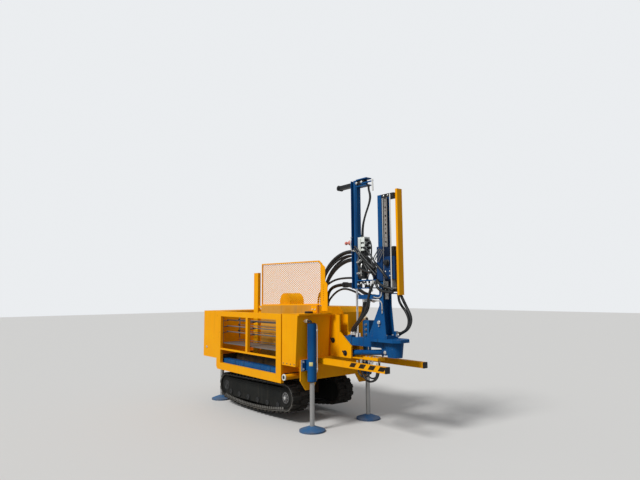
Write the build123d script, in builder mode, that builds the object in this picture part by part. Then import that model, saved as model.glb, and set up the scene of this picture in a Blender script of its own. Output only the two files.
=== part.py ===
"""Compact crawler drilling rig, standing on its four jack legs with the tracks clear of the ground.

Millimetres. +X points to the drill tower, +Y to the machine's left, +Z up. The origin lies on the
ground below the middle of the machine's overall length and width.
"""
import os
from math import atan2, degrees, hypot, radians, sin, tan

from build123d import *

os.makedirs("parts", exist_ok=True)

# driving sizes
# whole machine
LENGTH = 3520.0
BODY_WIDTH = 1222.0
BODY_TOP = 1325.0
HALF_LENGTH = LENGTH / 2
HALF_WIDTH = BODY_WIDTH / 2
RUNNING_GAP = 0.3
SEAT_GAP = 0.3

# chassis
DECK_TOP = 722.0
DECK_THICKNESS = 12.0
RAIL_HEIGHT = 100.0
RAIL_WIDTH = 70.0
RAIL_Y = 300.0
CHASSIS_FRONT = 610.0
CHASSIS_REAR = -1570.0
END_PLATE_THICKNESS = 16.0
END_PLATE_BOTTOM = 560.0
LEG_TAB_BOTTOM, LEG_TAB_WIDTH = 450.0, 70.0
LEG_BRACKET_BOTTOM, LEG_BRACKET_TOP = 680.0, 800.0
LEG_BRACKET_WIDTH = 84.0
END_PLATE_HALF_WIDTH = 560.0
CARRIER_X = (-1000.0, -120.0)
CARRIER_LENGTH = 110.0
CARRIER_BOTTOM, CARRIER_SHOULDER = 240.0, 380.0
OUTRIGGER_X = (-1290.0, 245.0)
CROSS_TUBE_X = 357.0
CROSS_TUBE_DIAMETER = 66.0
CROSS_TUBE_WALL = 12.0

# crawler tracks
TRACK_CENTRE_Y = 370.0
TRACK_WIDTH = 240.0
TRACK_BAND = 24.0
LUG_HEIGHT = 18.0
LUG_PITCH = 88.0
LUG_SHARE = 0.55
FRAME_INSET = 18.0
WRAP_GAP = 2.0
WRAP_RADIUS = 160.0
SPROCKET_X, SPROCKET_Z = 212.0, 300.0
IDLER_X, IDLER_Z = -1275.0, 262.0
FRONT_SLACK_ANGLE, REAR_SLACK_ANGLE = 6.0, 3.0
LOWER_RUN_X, LOWER_RUN_Z = -470.0, 70.0
FRAME_HEAD_REAR_Z, FRAME_HEAD_FRONT_Z = 380.0, 410.0
FRAME_FOOT_REAR_Z, FRAME_FOOT_FRONT_Z = 135.0, 175.0
FRAME_FOOT_REAR_X, FRAME_FOOT_MIDDLE_X, FRAME_FOOT_MIDDLE_Z = -900.0, -140.0, 150.0

# side window frames
FRAME_DEPTH = 40.0
FRAME_REAR, FRAME_FRONT = -1350.0, 300.0
WINDOW_REAR, WINDOW_FRONT = -1230.0, 190.0
FRAME_BOTTOM = 500.0
SILL_TOP = 595.0
CROSS_RAIL_TOP = 800.0
CROSS_RAIL_HEIGHT = 20.0
TOP_RAIL_DEPTH = 72.0
MULLION_X = -508.0
MULLION_WIDTH = 52.0
FRAME_CORNER = 36.0

# rear cabinet and front tank
CABINET_BOTTOM = 649.0
TANK_REAR = 320.0
TANK_TOP_FRONT, TANK_BOTTOM_FRONT = 636.0, 593.0
TANK_BOTTOM = DECK_TOP
TANK_INNER_Y = 116.0
LID_THICKNESS = 14.0
LID_LIP = 30.0

# inner wall, post and mesh guard
WALL_Y = -200.0
WALL_THICKNESS = 30.0
WALL_REAR, WALL_FRONT = -774.0, 515.0
WALL_TOP_REAR, WALL_TOP_FRONT = 1406.0, 1428.0
POST_LENGTH, POST_DEPTH, POST_WALL = 110.0, 46.0, 6.0
POST_FRONT = WALL_REAR - 75.0
POST_TOP = 1876.0
POST_STRAP_Z = (1290.0, 1370.0)
POST_STRAP_HEIGHT, POST_STRAP_THICKNESS = 30.0, 8.0
GUARD_FRONT = 586.0
GUARD_TOP_REAR, GUARD_TOP_FRONT = 2002.0, 1978.0
GUARD_CORNER = 54.0
GUARD_SHOULDER_X, GUARD_SHOULDER_Z = 658.0, 1891.0
GUARD_STEP_Z, GUARD_STEP_DEPTH = 1720.0, 43.0
GUARD_FOOT = 1358.0
GUARD_BAR = 16.0
GUARD_PLATE = 4.0
PERFORATION = 12.0
PERFORATIONS = 8
PERFORATED_BOTTOM, PERFORATED_TOP = 1489.0, 1672.0
MESH_LONG = 46.0
MESH_SHORT = 28.0
MESH_STRAND = 5.0
MESH_THICKNESS = 2.0
MESH_LAP = 6.0

# engine housing on the left side
HOOD_INNER_Y = 175.0
HOOD_TOP = 1400.0
HOOD_FRONT = 560.0
HOOD_CHAMFER = 70.0
LOUVRES = 9
LOUVRE_LENGTH, LOUVRE_HEIGHT, LOUVRE_DEPTH, LOUVRE_PITCH = 420.0, 16.0, 12.0, 40.0
LOUVRE_TOP_Z = 1190.0
LOUVRE_X = (-868.0, -144.0)
INTAKE_X, INTAKE_Z, INTAKE_RADIUS = -830.0, 1453.0, 130.0
INTAKE_INNER_Y, INTAKE_OUTER_Y = 240.0, 500.0

# rods and shelf in the open bay on the right side
STORED_ROD_DIAMETER = 16.0
STORED_ROD_Y = -500.0
STORED_ROD_Z = (1032.0, 1112.0, 1197.0)
STORED_ROD_REAR, STORED_ROD_FRONT = -1200.0, 165.0
SHELF_Z, SHELF_THICKNESS = 866.0, 12.0
SHELF_INNER_Y = -240.0
UPRIGHT_X = (-1250.0, -508.0, 215.0)
UPRIGHT_WIDTH, UPRIGHT_THICKNESS = 34.0, 10.0
HOOK_RISE = 16.0
SUPPORT_BEAM_Y, SUPPORT_BEAM_WIDTH, SUPPORT_BEAM_WALL = -500.0, 100.0, 6.0
SUPPORT_BEAM_BOTTOM, SUPPORT_BEAM_TOP = 560.0, 652.0

# jack legs: name, x, y of each axis
LEGS = (
    ("front_right", 700.0, -449.0),
    ("front_left", 700.0, 449.0),
    ("rear_right", -1610.0, -370.0),
    ("rear_left", -1610.0, 370.0),
)
SLEEVE_DIAMETER = 106.0
SLEEVE_CAP = 20.0
SLEEVE_BOTTOM, SLEEVE_TOP = 560.0, 1218.0
ROD_DIAMETER = 55.0
ROD_INSIDE = 220.0
PAD_DIAMETER = 300.0
PAD_RIM = 12.0
PAD_CONE = 58.0
PAD_NECK = 78.0

# fork beams beside the tower
BEAM_Y = 299.0
BEAM_WIDTH = 60.0
BEAM_HEIGHT = 64.0
BEAM_Z = 780.0
BEAM_WALL = 5.0
CAP_LENGTH = 16.0

# cheeks that carry the tower arm
CHEEK_INNER_Y = 58.0
CHEEK_THICKNESS = 20.0
CHEEK_TOP = 1310.0
CHEEK_BOTTOM = 812.0
CHEEK_REAR = 584.0
CHEEK_TOP_FRONT, CHEEK_FOOT_FRONT = 770.0, 970.0
CHEEK_KNEE_Z, CHEEK_TOE_Z = 1105.0, 950.0
STAND_PLATE = 24.0
NOTCH_BOTTOM = 1245.0
TRAY_REAR, TRAY_FRONT, TRAY_WIDTH, TRAY_THICKNESS = 960.0, 1380.0, 112.0, 8.0
TRAY_BOTTOM = 816.0
TRAY_BLOCK_REAR, TRAY_BLOCK_HEIGHT = 1150.0, 24.0
ARM_PIN_X, ARM_PIN_Z, ARM_PIN_DIAMETER = 650.0, 1001.0, 44.0
CYLINDER_PIN_X, CYLINDER_PIN_Z, CYLINDER_PIN_DIAMETER = 867.0, 865.0, 36.0

# tower arm, platform and drill guide
ARM_WIDTH = 110.0
ARM_TOP, ARM_BOTTOM = 1057.0, 963.0
ARM_KNUCKLE = 47.0
ARM_TAPER_LENGTH = 120.0
ARM_FRONT = 1500.0
ARM_BLOCK_REAR, ARM_BLOCK_FRONT = 1150.0, 1240.0
ARM_BLOCK_WIDTH, ARM_BLOCK_TOP = 90.0, 1258.0
PLATFORM_TOP = 1069.0
PLATFORM_REAR, PLATFORM_FRONT = 1280.0, 1742.0
PLATFORM_WIDTH = 264.0
PLATFORM_NOSE = 70.0
SKIRT_BOTTOM = 1036.0
SKIRT_THICKNESS = 6.0
FOOT_REAR, FOOT_FRONT, FOOT_WIDTH, FOOT_TOP = 1255.0, 1540.0, 150.0, 1102.0
DRILL_X = 1605.0
GUIDE_RADIUS = 87.0
GUIDE_TAPER = 6.0
GUIDE_WALL = 6.0
GUIDE_BORE = 92.0
GUIDE_BOTTOM = 872.0
GUIDE_CHEEK_TOP_X, GUIDE_CHEEK_TOP_Z = 1500.0, 1050.0
GUIDE_CHEEK_FOOT_X, GUIDE_CHEEK_FOOT_Z = 1592.0, 925.0
TILT_EYE_X, TILT_EYE_Z = 1492.0, 920.0
TILT_EYE_RADIUS, TILT_LUG_RADIUS = 28.0, 34.0

# tower mast
MAST_X = 1462.0
MAST_WIDTH = 138.0
MAST_DEPTH = 60.0
MAST_WALL = 10.0
MAST_TOP = 2672.0
GUSSET_REAR, GUSSET_FRONT, GUSSET_TOP = 1260.0, 1525.0, 1430.0
MANIFOLD_REAR, MANIFOLD_BOTTOM, MANIFOLD_TOP = 1090.0, 1500.0, 1550.0
MANIFOLD_ARM_LENGTH = 150.0
SIDE_BRACKET_Z, SIDE_BRACKET_FRONT, SIDE_BRACKET_Y = 1556.0, 1590.0, 118.0
RACK_WIDTH = 84.0
RACK_DEPTH = 44.0
RACK_PITCH = 104.0
RACK_HOLE = 18.0
RACK_BOTTOM = 1500.0
TOWER_GUARD_X = 1690.0
TOWER_GUARD_WIDTH = 78.0
TOWER_GUARD_DEPTH = 30.0
TOWER_GUARD_WALL = 4.0
TOWER_GUARD_BOTTOM, TOWER_GUARD_TOP = 1545.0, 2715.0

# feed column beside the mast
COLUMN_X = 1000.0
COLUMN_DEPTH = 104.0
COLUMN_WIDTH = 64.0
COLUMN_WALL = 6.0
COLUMN_BOTTOM, COLUMN_TOP = 1622.0, 2930.0
BARREL_DIAMETER = 50.0
BARREL_BORE = 40.0
FEED_ROD_DIAMETER = 25.0
FEED_ROD_TOP = 2420.0
LOWER_BRACKET_Z = 1580.0
STRAP_HEIGHT = 40.0
STRAP_THICKNESS = 6.0
CARRIAGE_BOTTOM, CARRIAGE_TOP = 1700.0, 2085.0
CARRIAGE_GAP = 0.5
CARRIAGE_WALL = 12.0
LINK_WIDTH, LINK_THICKNESS = 90.0, 12.0
LOWER_LINK_FRONT, UPPER_LINK_FRONT = 1285.0, 1230.0
LOWER_LINK_RISE, UPPER_LINK_DROP = 88.0, 92.0
SHEAVE_RADIUS, SHEAVE_WIDTH = 38.0, 64.0
SHEAVE_HUB_RADIUS, SHEAVE_HUB_PROUD = 16.0, 10.0
SHEAVE_REAR_X, SHEAVE_LOW_X, SHEAVE_FRONT_X = 720.0, 800.0, 1150.0
BULKHEAD_REAR, BULKHEAD_Y = 1095.0, 190.0
BULKHEAD_BOTTOM, BULKHEAD_TOP, BULKHEAD_THICKNESS = 1680.0, 1840.0, 12.0
HEAD_BOTTOM = 1720.0
HEAD_HEIGHT = 250.0
HEAD_RADIUS = 62.0
SPINDLE_DIAMETER = 50.0
SPINDLE_BORE = 30.0
CHUCK_DIAMETER = 86.0
CHUCK_HEIGHT = 96.0

# tilt cylinder, lengths along its axis from the fixed pin
TILT_BARREL_DIAMETER = 62.0
TILT_BORE = 48.0
TILT_ROD_DIAMETER = 32.0
TILT_BARREL_START = 24.0
TILT_BARREL_END = 575.0
TILT_PISTON_START, TILT_PISTON_LENGTH = 54.0, 30.0

# hoses: name, diameter of the bundle, route through its corners
ELBOW_RADIUS, ELBOW_DIAMETER, ELBOW_FLANGE, ELBOW_FLANGE_THICKNESS = 35.0, 34.0, 48.0, 10.0
HOSE_SHARE = 0.45
HOSES = (
    ("hose_arch_upper", 56.0, ((20, 262, 1400), (20, 262, 1600), (86, 260, 1850), (300, 256, 2036),
                               (590, 246, 2118), (860, 237, 2062), (1040, 226, 1935), (1130, 226, 1800))),
    ("hose_arch_middle", 56.0, ((84, 262, 1400), (84, 262, 1530), (130, 260, 1735), (350, 254, 1925),
                                (620, 246, 2012), (870, 236, 1965), (1030, 226, 1850), (1105, 226, 1735))),
    ("hose_arch_lower", 48.0, ((60, 322, 1400), (60, 322, 1480), (92, 316, 1572), (165, 304, 1640),
                               (320, 282, 1678), (520, 262, 1686), (740, 244, 1640), (940, 226, 1548),
                               (1090, 226, 1525))),
    ("hose_drop", 40.0, ((1150, 48, 1500), (1150, 48, 1430), (1113, 47, 1355), (1045, 46, 1292),
                         (962, 36, 1225), (925, 30, 1150), (925, 30, 1080))),
    ("hose_column", 24.0, ((1215, 10, 2838), (1215, 10, 2785), (1238, 10, 2735), (1243, 10, 2680),
                           (1205, 10, 2590), (1145, 10, 2480), (1104, 10, 2350), (1104, 10, 2230))),
    ("hose_side", 28.0, ((1566, 100, 1556), (1566, 100, 1495), (1600, 101, 1435), (1658, 103, 1375),
                         (1702, 104, 1300), (1705, 103, 1240), (1688, 98, 1185), (1640, 91, 1140),
                         (1590, 88, 1125), (1545, 88, 1125))),
    ("hose_loop", 20.0, ((1045, 0, 816), (1045, 0, 740), (1070, -4, 650), (1120, -8, 590), (1195, -8, 565),
                         (1275, -6, 580), (1330, -3, 635), (1350, 0, 735), (1350, 0, 816))),
)
ELBOWS_AFTER = ("hose_arch_upper", "hose_arch_middle", "hose_arch_lower")
DROP_BLOCK_LENGTH, DROP_BLOCK_WIDTH = 60.0, 104.0
SIDE_BLOCK_LENGTH, SIDE_BLOCK_WIDTH, SIDE_BLOCK_RISE = 42.0, 36.0, 20.0


def write_piece(piece, label):
    """Name a finished piece and write it."""
    piece.part.label = label
    export_step(piece.part, f"parts/{label}.step")


# chassis
rail_bottom = DECK_TOP - DECK_THICKNESS - RAIL_HEIGHT
rail_z = rail_bottom + RAIL_HEIGHT / 2
inner_face_y = HALF_WIDTH - FRAME_DEPTH
with BuildPart() as main_frame:
    rail_length = CHASSIS_FRONT - CHASSIS_REAR
    rail_middle = (CHASSIS_FRONT + CHASSIS_REAR) / 2
    with Locations((rail_middle, RAIL_Y, rail_z), (rail_middle, -RAIL_Y, rail_z)):
        Box(rail_length, RAIL_WIDTH, RAIL_HEIGHT)
    with Locations((rail_middle, 0, DECK_TOP - DECK_THICKNESS / 2)):
        Box(rail_length, 2 * RAIL_Y + RAIL_WIDTH, DECK_THICKNESS)
    with Locations(*[(x, 0, rail_z) for x in (CHASSIS_REAR + 40, *CARRIER_X, CHASSIS_FRONT - 60)]):
        Box(60, 2 * RAIL_Y, RAIL_HEIGHT)
    with Locations(*[(x, 0, rail_z) for x in OUTRIGGER_X]):
        Box(80, 2 * inner_face_y, RAIL_HEIGHT)
    # front end plate, drawn down behind each leg
    with BuildSketch(Plane.YZ.offset(CHASSIS_FRONT)):
        with BuildLine():
            leg_y = LEGS[1][2]
            half_plate = [(0, END_PLATE_BOTTOM), (leg_y - 2 * LEG_TAB_WIDTH, END_PLATE_BOTTOM),
                          (leg_y - LEG_TAB_WIDTH, LEG_TAB_BOTTOM),
                          (leg_y + LEG_TAB_WIDTH / 2, LEG_TAB_BOTTOM),
                          (END_PLATE_HALF_WIDTH, END_PLATE_BOTTOM), (END_PLATE_HALF_WIDTH, LEG_BRACKET_TOP),
                          (CHEEK_INNER_Y + CHEEK_THICKNESS + 40, CHEEK_BOTTOM), (0, CHEEK_BOTTOM)]
            Polyline(*half_plate)
            Polyline(*[(-y, z) for y, z in half_plate])
        make_face()
    extrude(amount=END_PLATE_THICKNESS)
    # carriers of the track frames
    frame_inner_y = TRACK_CENTRE_Y - TRACK_WIDTH / 2 + FRAME_INSET
    carrier_y = TRACK_CENTRE_Y - TRACK_WIDTH / 2 - 12
    for x in CARRIER_X:
        with BuildSketch(Plane.YZ.offset(x - CARRIER_LENGTH / 2)):
            with BuildLine():
                half_carrier = [(0, CARRIER_BOTTOM), (frame_inner_y, CARRIER_BOTTOM),
                                (frame_inner_y, CARRIER_SHOULDER), (carrier_y, CARRIER_SHOULDER),
                                (carrier_y, rail_bottom), (0, rail_bottom)]
                Polyline(*half_carrier)
                Polyline(*[(-y, z) for y, z in half_carrier])
            make_face()
        extrude(amount=CARRIER_LENGTH)
write_piece(main_frame, "main_frame")

with BuildPart() as cross_tube:
    with BuildSketch(Plane.XZ.offset(-HALF_WIDTH)):
        with Locations((CROSS_TUBE_X, rail_bottom - CROSS_TUBE_DIAMETER / 2 - SEAT_GAP)):
            Circle(CROSS_TUBE_DIAMETER / 2)
            Circle(CROSS_TUBE_DIAMETER / 2 - CROSS_TUBE_WALL, mode=Mode.SUBTRACT)
    extrude(amount=BODY_WIDTH)
write_piece(cross_tube, "cross_tube")


# crawler tracks
# pitch line: both wraps, the straight upper run and the slack lower run
top_slope = degrees(atan2(SPROCKET_Z - IDLER_Z, SPROCKET_X - IDLER_X))
with BuildLine(Plane.XZ) as pitch_line:
    front_wrap = CenterArc((SPROCKET_X, SPROCKET_Z), WRAP_RADIUS, 90 + top_slope, -180 - FRONT_SLACK_ANGLE)
    rear_wrap = CenterArc((IDLER_X, IDLER_Z), WRAP_RADIUS, 90 + top_slope, 180 - REAR_SLACK_ANGLE)
    Line(rear_wrap @ 0, front_wrap @ 0)
    ThreePointArc(front_wrap @ 1, (LOWER_RUN_X, LOWER_RUN_Z), rear_wrap @ 1)
pitch_wire = pitch_line.wire()
lug_count = round(pitch_wire.length / LUG_PITCH)
lug_step = 1 / lug_count


def beside(position, height):
    """Point in X and Z at a height outside the pitch line, at a share of its length."""
    place = pitch_wire.position_at(position % 1)
    tangent = pitch_wire.tangent_at(position % 1)
    if (place.X - LOWER_RUN_X) * -tangent.Z + (place.Z - IDLER_Z) * tangent.X < 0:
        tangent = -tangent
    return (place.X - tangent.Z * height, place.Z + tangent.X * height)


def lugged_outline(phase):
    """Outline of the band with its lugs, moved along the track by a share of the lug pitch."""
    corners = ((0.0, 0.0), (0.06, 1.0), (LUG_SHARE - 0.06, 1.0), (LUG_SHARE, 0.0), (0.5 + LUG_SHARE / 2, 0.0))
    return [beside((index + phase + share) * lug_step, LUG_HEIGHT * height)
            for index in range(lug_count) for share, height in corners]


band_inside = [beside(index * lug_step / 2, -TRACK_BAND) for index in range(2 * lug_count)]
for side, sign in (("right", -1), ("left", 1)):
    with BuildPart() as track:
        for phase, low in ((0.0, -TRACK_WIDTH / 2), (0.5, 0.0)):
            with BuildSketch(Plane.XZ.offset(-sign * TRACK_CENTRE_Y + low)):
                with BuildLine():
                    Polyline(*lugged_outline(phase), close=True)
                make_face()
                with BuildLine():
                    Polyline(*band_inside, close=True)
                make_face(mode=Mode.SUBTRACT)
            extrude(amount=TRACK_WIDTH / 2)
    write_piece(track, f"crawler_track_{side}")

    with BuildPart() as track_frame:
        with BuildSketch(Plane.XZ.offset(-sign * TRACK_CENTRE_Y - TRACK_WIDTH / 2 + FRAME_INSET)):
            with BuildLine():
                Polyline((IDLER_X, FRAME_HEAD_REAR_Z), (SPROCKET_X - 60, FRAME_HEAD_FRONT_Z),
                         (SPROCKET_X - 60, FRAME_FOOT_FRONT_Z), (FRAME_FOOT_MIDDLE_X, FRAME_FOOT_MIDDLE_Z),
                         (FRAME_FOOT_REAR_X, FRAME_FOOT_REAR_Z), (IDLER_X, FRAME_FOOT_REAR_Z), close=True)
            make_face()
            with Locations((IDLER_X, IDLER_Z)):
                Circle(WRAP_RADIUS - TRACK_BAND - WRAP_GAP)
            with Locations((SPROCKET_X, SPROCKET_Z)):
                Circle(WRAP_RADIUS - TRACK_BAND - WRAP_GAP + SEAT_GAP, mode=Mode.SUBTRACT)
        extrude(amount=TRACK_WIDTH - 2 * FRAME_INSET)
    write_piece(track_frame, f"track_frame_{side}")

    with BuildPart() as drive_hub:
        with BuildSketch(Plane.XZ.offset(-sign * TRACK_CENTRE_Y - TRACK_WIDTH / 2 + FRAME_INSET)):
            with Locations((SPROCKET_X, SPROCKET_Z)):
                Circle(WRAP_RADIUS - TRACK_BAND - WRAP_GAP)
        extrude(amount=TRACK_WIDTH - 2 * FRAME_INSET)
    write_piece(drive_hub, f"drive_hub_{side}")


# side window frames
for side, sign in (("right", -1), ("left", 1)):
    with BuildPart() as side_frame:
        start = HALF_WIDTH - FRAME_DEPTH if sign < 0 else -HALF_WIDTH
        with BuildSketch(Plane.XZ.offset(start)):
            with BuildLine():
                Polyline((FRAME_REAR, BODY_TOP), (FRAME_FRONT, BODY_TOP), (FRAME_FRONT, FRAME_BOTTOM),
                         (FRAME_REAR + FRAME_CORNER, FRAME_BOTTOM), (FRAME_REAR, FRAME_BOTTOM + FRAME_CORNER),
                         close=True)
            make_face()
            window_middle = (WINDOW_REAR + WINDOW_FRONT) / 2
            window_length = WINDOW_FRONT - WINDOW_REAR
            lower_height = CROSS_RAIL_TOP - CROSS_RAIL_HEIGHT - SILL_TOP
            with Locations((window_middle, SILL_TOP + lower_height / 2)):
                Rectangle(window_length, lower_height, mode=Mode.SUBTRACT)
            window_top = BODY_TOP - TOP_RAIL_DEPTH
            upper_height = window_top - CROSS_RAIL_TOP
            bays = ((WINDOW_REAR, MULLION_X - MULLION_WIDTH / 2),
                    (MULLION_X + MULLION_WIDTH / 2, WINDOW_FRONT))
            for bay_rear, bay_front in bays:
                with Locations(((bay_rear + bay_front) / 2, CROSS_RAIL_TOP + upper_height / 2)):
                    Rectangle(bay_front - bay_rear, upper_height, mode=Mode.SUBTRACT)
        extrude(amount=FRAME_DEPTH)
    write_piece(side_frame, f"side_frame_{side}")

# rear cabinet
with BuildPart() as rear_cabinet:
    cabinet_length = HALF_LENGTH + FRAME_REAR
    with Locations((-HALF_LENGTH + cabinet_length / 2, 0, (CABINET_BOTTOM + BODY_TOP) / 2)):
        Box(cabinet_length, BODY_WIDTH, BODY_TOP - CABINET_BOTTOM)
    rear_legs = [(x, y) for label, x, y in LEGS if label.startswith("rear")]
    with Locations(*[(x, y, CABINET_BOTTOM) for x, y in rear_legs]):
        Cylinder(SLEEVE_DIAMETER / 2 + SEAT_GAP, SLEEVE_TOP - CABINET_BOTTOM + SEAT_GAP,
                 align=(Align.CENTER, Align.CENTER, Align.MIN), mode=Mode.SUBTRACT)
    with Locations((-HALF_LENGTH + cabinet_length / 2, 0, CABINET_BOTTOM)):
        Box(cabinet_length, 2 * RAIL_Y + RAIL_WIDTH + 2, DECK_TOP - CABINET_BOTTOM + SEAT_GAP,
            align=(Align.CENTER, Align.CENTER, Align.MIN), mode=Mode.SUBTRACT)
write_piece(rear_cabinet, "rear_cabinet")

# front tank
with BuildPart() as front_tank:
    with BuildSketch(Plane.XZ.offset(TANK_INNER_Y)):
        with BuildLine():
            Polyline((TANK_REAR, BODY_TOP - LID_THICKNESS), (TANK_TOP_FRONT, BODY_TOP - LID_THICKNESS),
                     (TANK_BOTTOM_FRONT, TANK_BOTTOM), (TANK_REAR, TANK_BOTTOM), close=True)
        make_face()
    extrude(amount=HALF_WIDTH - TANK_INNER_Y)
    with Locations((TANK_REAR, -HALF_WIDTH, BODY_TOP - LID_THICKNESS)):
        Box(TANK_TOP_FRONT - TANK_REAR + LID_LIP, HALF_WIDTH - TANK_INNER_Y, LID_THICKNESS,
            align=(Align.MIN, Align.MIN, Align.MIN))
write_piece(front_tank, "front_tank")

# inner wall, post and mesh guard
with BuildPart() as inner_wall:
    with BuildSketch(Plane.XZ.offset(-WALL_Y - WALL_THICKNESS / 2)):
        with BuildLine():
            Polyline((WALL_REAR, DECK_TOP), (WALL_REAR, WALL_TOP_REAR), (WALL_FRONT, WALL_TOP_FRONT),
                     (WALL_FRONT, BODY_TOP), (TANK_REAR - SEAT_GAP, BODY_TOP),
                     (TANK_REAR - SEAT_GAP, DECK_TOP), close=True)
        make_face()
    extrude(amount=WALL_THICKNESS)
write_piece(inner_wall, "inner_wall")

with BuildPart() as guard_post:
    with BuildSketch(Plane.XY.offset(DECK_TOP)):
        with Locations((POST_FRONT - POST_LENGTH / 2, WALL_Y)):
            Rectangle(POST_LENGTH, POST_DEPTH)
        with Locations((POST_FRONT - POST_LENGTH / 2, WALL_Y + POST_WALL)):
            Rectangle(POST_LENGTH - 2 * POST_WALL, POST_DEPTH, mode=Mode.SUBTRACT)
    extrude(amount=POST_TOP - DECK_TOP)
    for z in POST_STRAP_Z:
        with Locations((POST_FRONT - POST_WALL, WALL_Y, z)):
            Box(WALL_REAR - SEAT_GAP - POST_FRONT + POST_WALL, POST_STRAP_THICKNESS, POST_STRAP_HEIGHT,
                align=(Align.MIN, Align.CENTER, Align.MIN))
write_piece(guard_post, "guard_post")

guard_slope = (WALL_TOP_FRONT - WALL_TOP_REAR) / (WALL_FRONT - WALL_REAR)
guard_bottom_front = WALL_TOP_REAR + guard_slope * (GUARD_FRONT - WALL_REAR)
corner_slope = (GUARD_TOP_FRONT - GUARD_SHOULDER_Z) / (GUARD_SHOULDER_X - GUARD_FRONT + GUARD_CORNER)
guard_corner_z = GUARD_TOP_FRONT - corner_slope * GUARD_CORNER
guard_outline = [(WALL_REAR, WALL_TOP_REAR), (WALL_REAR, GUARD_TOP_REAR),
                 (GUARD_FRONT - GUARD_CORNER, GUARD_TOP_FRONT), (GUARD_FRONT, guard_corner_z),
                 (GUARD_FRONT, guard_bottom_front)]
with BuildPart() as guard_frame:
    with BuildSketch(Plane.XZ.offset(-WALL_Y - GUARD_BAR / 2)):
        with BuildLine():
            Polyline(*guard_outline, close=True)
        guard_face = make_face()
        offset(guard_face, amount=-GUARD_BAR, kind=Kind.INTERSECTION, mode=Mode.SUBTRACT)
    extrude(amount=GUARD_BAR)
    # plain border plate in front of the mesh, stepped out towards its foot
    with BuildSketch(Plane.XZ.offset(-WALL_Y + GUARD_BAR / 2 - GUARD_PLATE)):
        with BuildLine():
            Polyline((GUARD_FRONT - GUARD_BAR, guard_bottom_front), (GUARD_FRONT - GUARD_BAR, guard_corner_z),
                     (GUARD_FRONT, guard_corner_z), (GUARD_SHOULDER_X, GUARD_SHOULDER_Z),
                     (GUARD_SHOULDER_X, GUARD_STEP_Z),
                     (GUARD_SHOULDER_X + GUARD_STEP_DEPTH, GUARD_STEP_Z - GUARD_STEP_DEPTH),
                     (GUARD_SHOULDER_X + GUARD_STEP_DEPTH, GUARD_FOOT), (GUARD_FRONT, GUARD_FOOT),
                     (GUARD_FRONT, guard_bottom_front), close=True)
        make_face()
        perforated_x = (GUARD_FRONT + GUARD_SHOULDER_X) / 2
        with Locations((perforated_x, (PERFORATED_BOTTOM + PERFORATED_TOP) / 2)):
            with GridLocations(1, (PERFORATED_TOP - PERFORATED_BOTTOM) / (PERFORATIONS - 1), 1, PERFORATIONS):
                Circle(PERFORATION / 2, mode=Mode.SUBTRACT)
    extrude(amount=GUARD_PLATE)
write_piece(guard_frame, "guard_frame")

# diamond mesh: two layers of slanting strips, clipped to lap behind the frame's bars
mesh_angle = degrees(atan2(MESH_SHORT, MESH_LONG))
mesh_pitch = MESH_LONG * sin(radians(mesh_angle))
mesh_reach = hypot(GUARD_FRONT - WALL_REAR, GUARD_TOP_REAR - WALL_TOP_REAR)
mesh_count = round(mesh_reach / mesh_pitch) + 1
mesh_middle = ((GUARD_FRONT + WALL_REAR) / 2, (GUARD_TOP_REAR + WALL_TOP_REAR) / 2)
with BuildPart() as guard_mesh:
    for lean, layer in ((mesh_angle, 0), (-mesh_angle, 1)):
        depth = GUARD_BAR / 2 + SEAT_GAP + layer * (MESH_THICKNESS + SEAT_GAP)
        with BuildSketch(Plane.XZ.offset(-WALL_Y - depth - MESH_THICKNESS)):
            with Locations(Location((*mesh_middle, 0), (0, 0, lean))):
                with GridLocations(1, mesh_pitch, 1, mesh_count):
                    Rectangle(mesh_reach, MESH_STRAND)
            with BuildLine():
                Polyline(*guard_outline, close=True)
            region = make_face(mode=Mode.PRIVATE)
            offset(region, amount=-MESH_LAP, kind=Kind.INTERSECTION, mode=Mode.INTERSECT)
        extrude(amount=MESH_THICKNESS)
write_piece(guard_mesh, "guard_mesh")

# engine housing
with BuildPart() as engine_housing:
    with BuildSketch(Plane.XZ.offset(-HALF_WIDTH + FRAME_DEPTH + 1)):
        with BuildLine():
            Polyline((FRAME_REAR + 1, DECK_TOP), (FRAME_REAR + 1, HOOD_TOP),
                     (HOOD_FRONT - HOOD_CHAMFER, HOOD_TOP), (HOOD_FRONT, HOOD_TOP - HOOD_CHAMFER),
                     (HOOD_FRONT, DECK_TOP), close=True)
        make_face()
    extrude(amount=HALF_WIDTH - FRAME_DEPTH - 1 - HOOD_INNER_Y)
    # round cover of the air intake on the roof
    with BuildSketch(Plane.XZ.offset(-INTAKE_OUTER_Y)):
        with Locations((INTAKE_X, INTAKE_Z)):
            Circle(INTAKE_RADIUS)
    extrude(amount=INTAKE_OUTER_Y - INTAKE_INNER_Y)
    # louvres behind the left window frame
    louvre_face_y = HALF_WIDTH - FRAME_DEPTH - 1
    louvre_middle_z = LOUVRE_TOP_Z - (LOUVRES - 1) * LOUVRE_PITCH / 2
    with BuildSketch(Plane.XZ.offset(-louvre_face_y)):
        with Locations(*[(x, louvre_middle_z) for x in LOUVRE_X]):
            with GridLocations(1, LOUVRE_PITCH, 1, LOUVRES):
                Rectangle(LOUVRE_LENGTH, LOUVRE_HEIGHT)
    extrude(amount=LOUVRE_DEPTH, mode=Mode.SUBTRACT)
write_piece(engine_housing, "engine_housing")

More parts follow.
